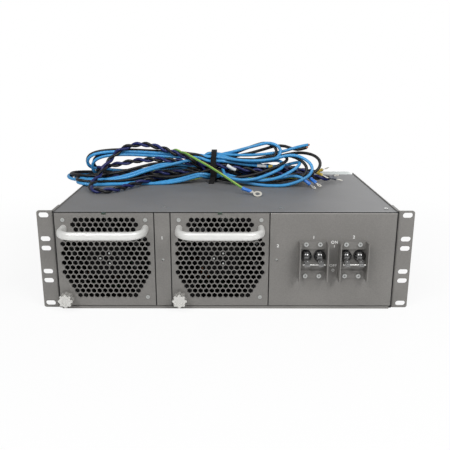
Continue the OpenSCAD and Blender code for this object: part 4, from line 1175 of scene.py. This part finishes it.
    def build(self) -> dict[str, Piece]:
        """Lays all the leads.

        Returns:
            The curve of each lead or strand, by name.
        """
        jackets = {
            "blue": Finish.BLUE_LEAD,
            "black": Finish.BLACK_LEAD,
            "navy": Finish.NAVY_LEAD,
            "earth": Finish.EARTH_LEAD,
        }
        routes = self.routes()
        HankLayout().lay(routes)
        made: dict[str, Piece] = {}
        for route in routes:
            line = self.centre(route)
            runs = {route.name: line}
            if route.name.startswith("output"):
                runs = {
                    f"{route.name}_{colour}": self.strand(line, phase)
                    for colour, phase in (("navy", 0.0), ("black", math.pi))
                }
            for name, run in runs.items():
                words = name.split("_")
                jacket = next(jackets[word] for word in words if word in jackets)
                slot = f"{words[0]}_lead"
                made[name] = self.cord(name, run, self.radius(name), jacket, slot)
        return made




# ------------------------------------------------------------------ terminals and strap


@dataclass
class Terminals:
    """The crimped ends of the leads, the noses at the bushes and the earth lead's ring.

    Attributes:
        ring_at: the middle of the ring, over the lid.
        ring_tilt, ring_turn: how far it leans and which way it points, in degrees.
        eye_r, hole_r, eye_t: its radius, its hole's radius and its thickness.
        sleeve_from: how far from the middle of the ring its sleeve starts.
        crimp_l: the length of the sleeves on the other lugs.
    """

    paints: Paints
    ring_at: tuple[float, float] = (0.0455, 0.0884)
    ring_tilt: float = 24.0
    ring_turn: float = 147.5
    eye_r: float = 0.0064
    hole_r: float = 0.00325
    eye_t: float = 0.0011
    sleeve_from: float = 0.0105
    sleeve_l: float = 0.0145
    sleeve_r: float = 0.0027
    lug_r: float = 0.0036
    lug_t: float = 0.0009
    crimp_l: float = 0.0125
    lid_z: float = 0.1313

    def turned(
        self, name: str, rings: list[tuple[float, float]], sides: int = 20
    ) -> Piece:
        """Turns a closed body along +Z from a stack of rings.

        Args:
            name: the piece's name.
            rings: the distance along the axis and the radius of each ring.
            sides: how many sides the body has.

        Returns:
            The body, with its first ring at the origin.
        """
        deselect()
        first, radius = rings[0]
        bpy.ops.mesh.primitive_circle_add(
            vertices=sides, radius=radius, fill_type="NGON", location=(0, 0, first)
        )
        piece = bpy.context.object
        bpy.ops.object.transform_apply(location=True, rotation=True, scale=True)
        edit()
        for (low, before), (high, after) in zip(rings, rings[1:]):
            bpy.ops.mesh.extrude_region_move(
                TRANSFORM_OT_translate={"value": (0, 0, high - low)}
            )
            bpy.ops.transform.resize(
                value=(after / before, after / before, 1), center_override=(0, 0, high)
            )
        bpy.ops.mesh.select_all(action="SELECT")
        bpy.ops.mesh.normals_make_consistent(inside=False)
        bpy.ops.object.mode_set(mode="OBJECT")
        settle(piece, name)
        smooth(piece)
        return piece

    def sleeve(self, name: str, radius: float, length: float) -> Piece:
        """A crimp sleeve along +Z with its two pressed waists and rolled ends."""
        rolled = radius * 1.1
        mouth = [(0.0, rolled * 0.9), (0.0006, rolled), (length * 0.12, rolled)]
        pressed = (
            (0.2, 1), (0.36, 0.9), (0.48, 1), (0.62, 0.9), (0.76, 1), (0.94, 0.98),
            (1, 0.82),
        )
        waists = [(length * along, radius * share) for along, share in pressed]
        return self.turned(name, mouth + waists)

    def lug(
        self, name: str, outer: float, hole: float, thickness: float, reach: float
    ) -> Piece:
        """A flat ring round the origin, with its tongue along +X.

        Args:
            name: the piece's name.
            outer: the ring's outer radius.
            hole: the radius of its hole.
            thickness: the plate's thickness.
            reach: how far the tongue's end is from the middle of the ring.

        Returns:
            The plate.
        """
        deselect()
        bpy.ops.mesh.primitive_plane_add(size=1)
        plate = bpy.context.object
        for vertex in plate.data.vertices:
            x = (outer + hole) / 2 + vertex.co.x * (outer - hole)
            vertex.co = Vector((x, 0, vertex.co.y * thickness))
        edit()
        bpy.ops.mesh.delete(type="ONLY_FACE")
        bpy.ops.mesh.select_all(action="SELECT")
        bpy.ops.mesh.spin(steps=40, angle=2 * math.pi, center=(0, 0, 0), axis=(0, 0, 1))
        bpy.ops.mesh.select_all(action="SELECT")
        bpy.ops.mesh.remove_doubles(threshold=1e-6)
        bpy.ops.mesh.normals_make_consistent(inside=False)
        bpy.ops.object.mode_set(mode="OBJECT")

        def rim(face: Face) -> bool:
            """Whether a face of the outer rim looks along +X."""
            return face.center.x > outer * 0.985 and abs(face.normal.z) < 0.1

        choose(plate, rim)
        bpy.ops.mesh.extrude_region_move(
            TRANSFORM_OT_translate={"value": (reach - outer, 0, 0)}
        )
        wider = hole / (outer * math.sin(math.radians(9)))
        bpy.ops.transform.resize(value=(1, wider, 1), center_override=(0, 0, 0))
        bpy.ops.object.mode_set(mode="OBJECT")
        settle(plate, name)
        apply_modifier(plate, "BEVEL", width=thickness * 0.2, segments=2)
        smooth(plate)
        return plate

    def crimped(
        self, name: str, end: tuple[Vector, Vector], finish: Finish, radius: float
    ) -> list[Piece]:
        """Puts a sleeve and a lug on the end of a lead.

        Args:
            name: the lead's name.
            end: the lead's last point and its heading there.
            finish: the sleeve's finish.
            radius: the lead's radius.

        Returns:
            The two pieces.
        """
        tip, heading = end
        body = self.sleeve(f"{name}_sleeve", radius * 1.12, self.crimp_l)
        body.data.transform(facing(tip - heading * 0.003, heading))
        reach = self.lug_r * 2.1
        plate = self.lug(f"{name}_lug", self.lug_r, self.lug_r * 0.55, self.lug_t, reach)
        middle = tip + heading * (self.crimp_l - 0.004 + reach)
        quarter = math.pi / 2
        turned = Matrix.Rotation(quarter, 4, "Z") @ Matrix.Rotation(quarter, 4, "Y")
        plate.data.transform(facing(middle, heading) @ turned)
        self.paints.fit(body, finish, "terminal")
        self.paints.fit(plate, Finish.TIN, "terminal")
        return [body, plate]

    def cut(self, name: str, end: tuple[Vector, Vector], radius: float) -> None:
        """Shows the copper in the cut end of a lead."""
        tip, heading = end
        rings = [(0, radius * 0.6), (0.0024, radius * 0.6), (0.003, radius * 0.4)]
        core = self.turned(f"{name}_core", rings)
        core.data.transform(facing(tip - heading * 0.0008, heading))
        self.paints.fit(core, Finish.COPPER, "terminal")

    def relief(self, name: str, at: Point, radius: float, grow: float) -> None:
        """A tapered rubber nose round a lead where it leaves its bush.

        Args:
            name: the lead's name.
            at: where the lead leaves the bush.
            radius: the lead's radius.
            grow: how much wider the nose is at its root.
        """
        shape = (
            (0, 0.9), (2, 1), (3.6, 0.6), (4.8, 0.8), (6.4, 0.45), (7.6, 0.6), (10, 0.2)
        )
        rings = [(along * MM, radius + grow * share) for along, share in shape]
        nose = self.turned(f"{name}_relief", rings, 28)
        nose.data.transform(facing(Vector(at), Vector((0, 1, 0))))
        self.paints.fit(nose, Finish.RUBBER, "rubber")

    def ring(self) -> list[Piece]:
        """The tinned ring and its blue sleeve, leaning on the lid by the eye."""
        tongue = self.sleeve_from + 0.001
        eye = self.lug("earth_ring_eye", self.eye_r, self.hole_r, self.eye_t, tongue)
        sleeve = self.sleeve("earth_ring_sleeve", self.sleeve_r, self.sleeve_l)
        along = Vector((1, 0, 0)).to_track_quat("Z", "Y").to_matrix().to_4x4()
        start = self.sleeve_from + self.sleeve_l
        flip = Matrix.Rotation(math.pi, 4, "Y")
        sleeve.data.transform(Matrix.Translation((start, 0, 0)) @ along @ flip)
        tilt = math.radians(self.ring_tilt)
        rise = self.eye_r * math.sin(tilt) + self.eye_t / 2 * math.cos(tilt)
        place = (
            Matrix.Translation((*self.ring_at, self.lid_z + rise))
            @ Matrix.Rotation(tilt, 4, "X")
            @ Matrix.Rotation(math.radians(self.ring_turn), 4, "Z")
        )
        for piece, finish in ((eye, Finish.TIN), (sleeve, Finish.BLUE_SLEEVE)):
            piece.data.transform(place)
            self.paints.fit(piece, finish, "terminal")
        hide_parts("ring_terminal")
        return [eye, sleeve]

    def finish(self, leads: Leads, cords: dict[str, Piece], ring: list[Piece]) -> None:
        """Args:
            leads: the leads' sizes and ends.
            cords: the curve of each lead or strand, by name.
            ring: the ring and sleeve of the earth lead.
        """
        sleeves = {
            "feed_blue_2": Finish.BLUE_SLEEVE,
            "feed_black_2": Finish.BLUE_SLEEVE,
            "output_1_navy": Finish.GREY_SLEEVE,
            "output_1_black": Finish.GREY_SLEEVE,
            "output_2_navy": Finish.YELLOW_SLEEVE,
            "output_2_black": Finish.YELLOW_SLEEVE,
        }
        for name, cord in cords.items():
            radius, end = leads.radius(name), leads.ends[name]
            pieces = ring if name == "earth" else []
            if name in sleeves:
                pieces = self.crimped(name, end, sleeves[name], radius)
            elif not pieces:
                self.cut(name, end, radius)


@dataclass
class Strap:
    """The hook-and-loop tape round the bundle, with its tail on the lid.

    Attributes:
        first: the length of the tape before it is spun.
        steps, lap: how many steps make one turn, and how many the end goes on.
        lift: over how many steps before the lap it rises.
        skew, skewed: how far each of its last steps goes aside, and how many do.
        turn: how far the lap is turned to the front, in degrees.
    """

    paints: Paints
    x: float = -0.018
    y: float = 0.203
    z: float = 0.1563
    radius: float = 0.0242
    width: float = 0.0085
    thickness: float = 0.0013
    first: float = 0.0012
    steps: int = 56
    lap: int = 5
    lift: int = 9
    skew: float = -0.00012
    skewed: int = 13
    turn: float = 87.0
    tail: tuple[Point, ...] = (
        (-0.0006, -0.0012, -0.0036),
        (-0.0006, -0.0018, -0.003),
        (-0.0006, -0.0026, -0.002),
        (-0.0006, -0.003, -0.0002),
    )

    def build(self) -> None:
        """Spins the band, laps its end over it and gives it its thickness."""
        deselect()
        bpy.ops.mesh.primitive_plane_add(size=1)
        band = bpy.context.object
        start = Vector((self.x, self.y, self.z - self.radius))
        for vertex in band.data.vertices:
            across, along = vertex.co.x * self.width, -vertex.co.y * self.first
            vertex.co = start + Vector((across, along, 0))
        edit("DESELECT")
        bpy.ops.mesh.select_mode(type="EDGE")
        bpy.ops.object.mode_set(mode="OBJECT")
        points = band.data.vertices
        for edge in band.data.edges:
            edge.select = all(points[i].co.y > self.y for i in edge.vertices)
        bpy.ops.object.mode_set(mode="EDIT")
        centre = (self.x, self.y, self.z)
        step = 2 * math.pi / self.steps
        for i in range(self.steps + self.lap):
            bpy.ops.mesh.extrude_region_move(TRANSFORM_OT_translate={"value": (0, 0, 0)})
            bpy.ops.transform.rotate(value=-step, orient_axis="X", center_override=centre)
            lifting = self.steps - self.lift <= i < self.steps
            rise = self.thickness * 1.15 / self.lift / self.radius
            grow = 1 + rise if lifting else 1.0
            bpy.ops.transform.resize(value=(1, grow, grow), center_override=centre)
            if i >= self.steps - self.skewed:
                bpy.ops.transform.translate(value=(self.skew, 0, 0))
        back = Matrix.Rotation(math.radians(self.turn), 3, "X")
        for along in self.tail:
            step = tuple(back @ Vector(along))
            bpy.ops.mesh.extrude_region_move(TRANSFORM_OT_translate={"value": step})
        bpy.ops.mesh.select_all(action="SELECT")
        bpy.ops.transform.rotate(
            value=math.radians(self.turn), orient_axis="X", center_override=centre
        )
        bpy.ops.object.mode_set(mode="OBJECT")
        settle(band, "strap_band")
        apply_modifier(band, "SOLIDIFY", thickness=self.thickness, offset=0.0)
        apply_modifier(band, "BEVEL", width=0.0003, segments=2)
        smooth(band)
        self.paints.fit(band, Finish.STRAP, "strap")
        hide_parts("hank_strap")


# ------------------------------------------------------------------ lettering


@dataclass
class Lettering:
    """The printed numbers and switch words on the front plates."""

    paints: Paints
    plate_y: float = -0.006
    relief: float = 0.00008
    bold: float = 0.0001
    em: float = 1.38
    words: tuple[tuple[str, str, float, float, float], ...] = (
        ("number_left", "1", 113.0, 98.3, 4.0),
        ("number_right", "2", 164.4, 98.8, 4.0),
        ("word_on", "ON", 139.9, 91.8, 3.9),
        ("mark_on", "I", 139.9, 86.1, 3.4),
        ("word_off", "OFF", 139.4, 60.2, 3.6),
        ("mark_off", "O", 139.8, 53.8, 3.5),
        ("number_strip", "1", -81.6, 97.4, 4.0),
        ("number_panel", "2", 67.2, 87.0, 4.0),
    )

    def build(self) -> None:
        """Writes each word as thin ink that stands on its plate."""
        for name, text, x, z, height in self.words:
            deselect()
            bpy.ops.object.text_add(location=(0, 0, 0))
            piece = bpy.context.object
            piece.data.body = text
            piece.data.align_x = "CENTER"
            piece.data.align_y = "CENTER"
            piece.data.size = height * MM * self.em
            piece.data.offset = self.bold
            piece.data.space_character = 1.12
            piece.data.extrude = self.relief
            piece.data.resolution_u = 4
            bpy.ops.object.convert(target="MESH")
            piece = bpy.context.object
            piece.location = (x * MM, self.plate_y, z * MM)
            piece.rotation_euler = (math.pi / 2, 0, 0)
            settle(piece, name)
            self.paints.fit(piece, Finish.PRINT, "paint")


# ------------------------------------------------------------------ carried-over parts


@dataclass
class Hardware:
    """The parts whose shape comes from the solids, and only need their finish."""

    paints: Paints
    nodes: dict[str, Piece]
    hair: float = 0.0001
    recess_depth: float = 0.00095
    shelf: tuple[tuple[Finish, str], ...] = (
        (Finish.PAINT, "chassis_tray left_ear right_ear breaker_guards"),
        (Finish.LID_PAINT, "lid"),
        # The bay dividers get a near-black finish as painted shade.
        (Finish.INNER_PAINT, "bay_dividers"),
        (Finish.PLATE_PAINT, "filler_strip"),
        (Finish.PANEL_PAINT, "breaker_panel"),
        (Finish.GALVANISED, "guide_rails backplane rear_cover"),
        (Finish.ZINC, "chassis_screws trim_pots guard_screws"),
        (Finish.SOCKET, "module_sockets terminal_block"),
        (Finish.COPPER, "busbars"),
        (Finish.RUBBER, "lead_grommets"),
    )
    paired: tuple[tuple[Finish, str], ...] = (
        (Finish.HOUSING, "breaker"),
        (Finish.TOGGLE, "toggles"),
        (Finish.BAR, "tie_bar"),
        (Finish.PLATE_PAINT, "face"),
        (Finish.GALVANISED, "case case_cover"),
        (Finish.HANDLE, "handle"),
        (Finish.KNOB, "knob"),
        (Finish.LAMP, "lamp"),
        (Finish.ZINC, "screws"),
        (Finish.FAN, "fan_frame fan_rotor"),
        (Finish.COPPER, "fan_stator transformer"),
        (Finish.BOARD, "board"),
        (Finish.SINK, "heat_sink"),
        (Finish.CAN, "capacitors"),
        (Finish.SOCKET, "plug"),
    )

    def dress(self) -> None:
        """Gives each carried-over node its finish."""
        for finish, names in self.shelf:
            for name in names.split():
                self.paints.dress(self.nodes[name], finish)
        for finish, names in self.paired:
            for name in names.split():
                self.paints.dress(self.nodes[f"left_{name}"], finish)
                self.paints.dress(self.nodes[f"right_{name}"], finish)
        # Painted shade: gap-facing rims, screw recesses, the lid's front lip and the
        # tray's edge get dark finishes.
        for name in ("left_face", "right_face", "filler_strip", "breaker_panel"):
            self.shade_rims(self.nodes[name])
        for name in ("left_screws", "right_screws", "guard_screws"):
            self.shade_recesses(self.nodes[name])
        self.shade_body()

    def shade_rims(self, plate: Piece) -> None:
        """Paints shade on the outer edges of a front plate, which stand in narrow shaded
        gaps.
        """
        across = [vertex.co.x for vertex in plate.data.vertices]
        low, high = min(across) + self.hair, max(across) - self.hair
        self.paints.touch(plate, Finish.GAP, lambda face: not low < face.center.x < high)

    def shade_recesses(self, screws: Piece) -> None:
        """Paints shade on the walls and floors of the cross recesses."""
        points = screws.data.vertices
        front = min(vertex.co.y for vertex in points)

        def sunk(face: Face) -> bool:
            """Whether a face lies in a recess."""
            deepest = max(points[i].co.y for i in face.vertices) - front
            return self.hair < deepest < self.recess_depth

        self.paints.touch(screws, Finish.RECESS, sunk)

    def shade_body(self) -> None:
        """Paints shade on the edges of the lid and the tray that face the gaps."""

        def lid_lip(face: Face) -> bool:
            """Whether a face is the lid's front edge."""
            return face.normal.y < -0.9 and face.center.y < 0

        def tray_edge(face: Face) -> bool:
            """Whether a face is the front edge of the tray, above its lip."""
            return face.normal.y < -0.9 and -0.004 < face.center.y < 0

        self.paints.touch(self.nodes["lid"], Finish.GAP, lid_lip)
        self.paints.touch(self.nodes["chassis_tray"], Finish.GAP, tray_edge)


# ------------------------------------------------------------------ studio


@dataclass
class Studio:
    """The floor, the lights, the pale surroundings and the camera."""

    camera_at: Point = (-0.0011, -0.7065, 0.3108)
    pitch: float = 15.63
    roll: float = -0.07
    lens: float = 45.7
    floor_half: float = 6.0
    floor_colour: Colour = (0.86, 0.86, 0.86)
    world_level: float = 0.3
    mirror_level: float = 0.42
    lamps: tuple[tuple[str, Point, float, float], ...] = (
        ("key", (-0.75, -1.05, 1.45), 1.0, 18),
        ("fill", (0.95, -1.1, 1.35), 0.8, 20),
        ("back", (0.75, 1.3, 0.55), 0.8, 3),
    )

    def camera(self) -> None:
        """Sets the camera up."""
        data = bpy.data.cameras.new("camera")
        data.lens = self.lens
        data.sensor_width = 36.0
        data.clip_start = 0.01
        data.clip_end = 60.0
        camera = bpy.data.objects.new("camera", data)
        bpy.context.scene.collection.objects.link(camera)
        camera.location = self.camera_at
        angles = (90 - self.pitch, self.roll, 0.0)
        camera.rotation_euler = tuple(math.radians(angle) for angle in angles)
        bpy.context.scene.camera = camera

    def floor(self) -> None:
        """A pale floor that fades to white away from the object."""
        deselect()
        bpy.ops.mesh.primitive_plane_add(size=2 * self.floor_half)
        floor = bpy.context.object
        floor.name = "studio_floor"
        graph = Graph("studio_floor")
        graph.set(Base_Color=self.floor_colour, Roughness=0.9, Specular_IOR_Level=0.0)
        at = graph.node("ShaderNodeTexCoord", {}, {}, "Object")
        ends = {0: at, 1: (0, 0.13, 0)}
        middle = graph.node("ShaderNodeVectorMath", {"operation": "SUBTRACT"}, ends)
        far = graph.node("ShaderNodeVectorMath", {"operation": "LENGTH"}, {0: middle}, 1)
        seen = graph.node("ShaderNodeLightPath", {}, {}, "Is Camera Ray")
        white = {"Color": (1.0, 1.0, 1.0), "Strength": 1.0}
        glow = graph.node("ShaderNodeEmission", {}, white)
        share = (far.ramp(0.33, 0.75) * 0.12 + 0.88) * seen
        lit = Value(graph, graph.shader.outputs[0])
        blend = graph.node("ShaderNodeMixShader", {}, {0: share, 1: lit, 2: glow})
        graph.feed(graph.output.inputs[0], blend)
        floor.data.materials.append(graph.material)

    def world(self) -> None:
        """Soft surroundings that the camera and mirrors see as white."""
        world = bpy.data.worlds.new("studio")
        world.use_nodes = True
        tree = world.node_tree
        tree.nodes.clear()
        path = tree.nodes.new("ShaderNodeLightPath")
        rays = ("", "Is Glossy Ray", "Is Camera Ray")
        levels = (self.world_level, self.mirror_level, 1.0)
        for ray, level in zip(rays, levels):
            light = tree.nodes.new("ShaderNodeBackground")
            light.inputs["Color"].default_value = (1, 1, 1, 1)
            light.inputs["Strength"].default_value = level
            if ray:
                mix = tree.nodes.new("ShaderNodeMixShader")
                tree.links.new(path.outputs[ray], mix.inputs[0])
                tree.links.new(last.outputs[0], mix.inputs[1])
                tree.links.new(light.outputs[0], mix.inputs[2])
                light = mix
            last = light
        output = tree.nodes.new("ShaderNodeOutputWorld")
        tree.links.new(last.outputs[0], output.inputs[0])
        bpy.context.scene.world = world

    def lamp(self, name: str, at: Point, size: float, power: float) -> None:
        """A square soft light that faces the object."""
        data = bpy.data.lights.new(name, "AREA")
        data.shape = "SQUARE"
        data.size = size
        data.energy = power
        light = bpy.data.objects.new(name, data)
        bpy.context.scene.collection.objects.link(light)
        light.visible_camera = False
        light.location = at
        aim = Vector((0, 0.1, 0.08)) - Vector(at)
        light.rotation_euler = aim.to_track_quat("-Z", "Y").to_euler()

    def build(self) -> None:
        """Makes the whole studio."""
        self.camera()
        self.floor()
        self.world()
        for lamp in self.lamps:
            self.lamp(*lamp)
        bpy.context.scene.view_settings.view_transform = "Standard"


# ------------------------------------------------------------------ build


def main() -> None:
    """Builds and dresses the shelf in order."""
    logging.basicConfig(level=logging.INFO, format="%(message)s")
    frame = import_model()
    deselect()
    paints = Paints()
    Studio().build()
    leads = Leads(paints)
    cords = leads.build()
    terminals = Terminals(paints)
    ring = terminals.ring()
    Strap(paints).build()
    terminals.finish(leads, cords, ring)
    for bush in leads.bushes():
        terminals.relief(*bush)
    leads.mark(cords)
    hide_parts("feed_leads", "lead_hank")
    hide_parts("output_leads")
    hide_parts("earth_leads")
    Hardware(paints, frame["nodes"]).dress()
    Lettering(paints).build()


if __name__ == "__main__":
    main()
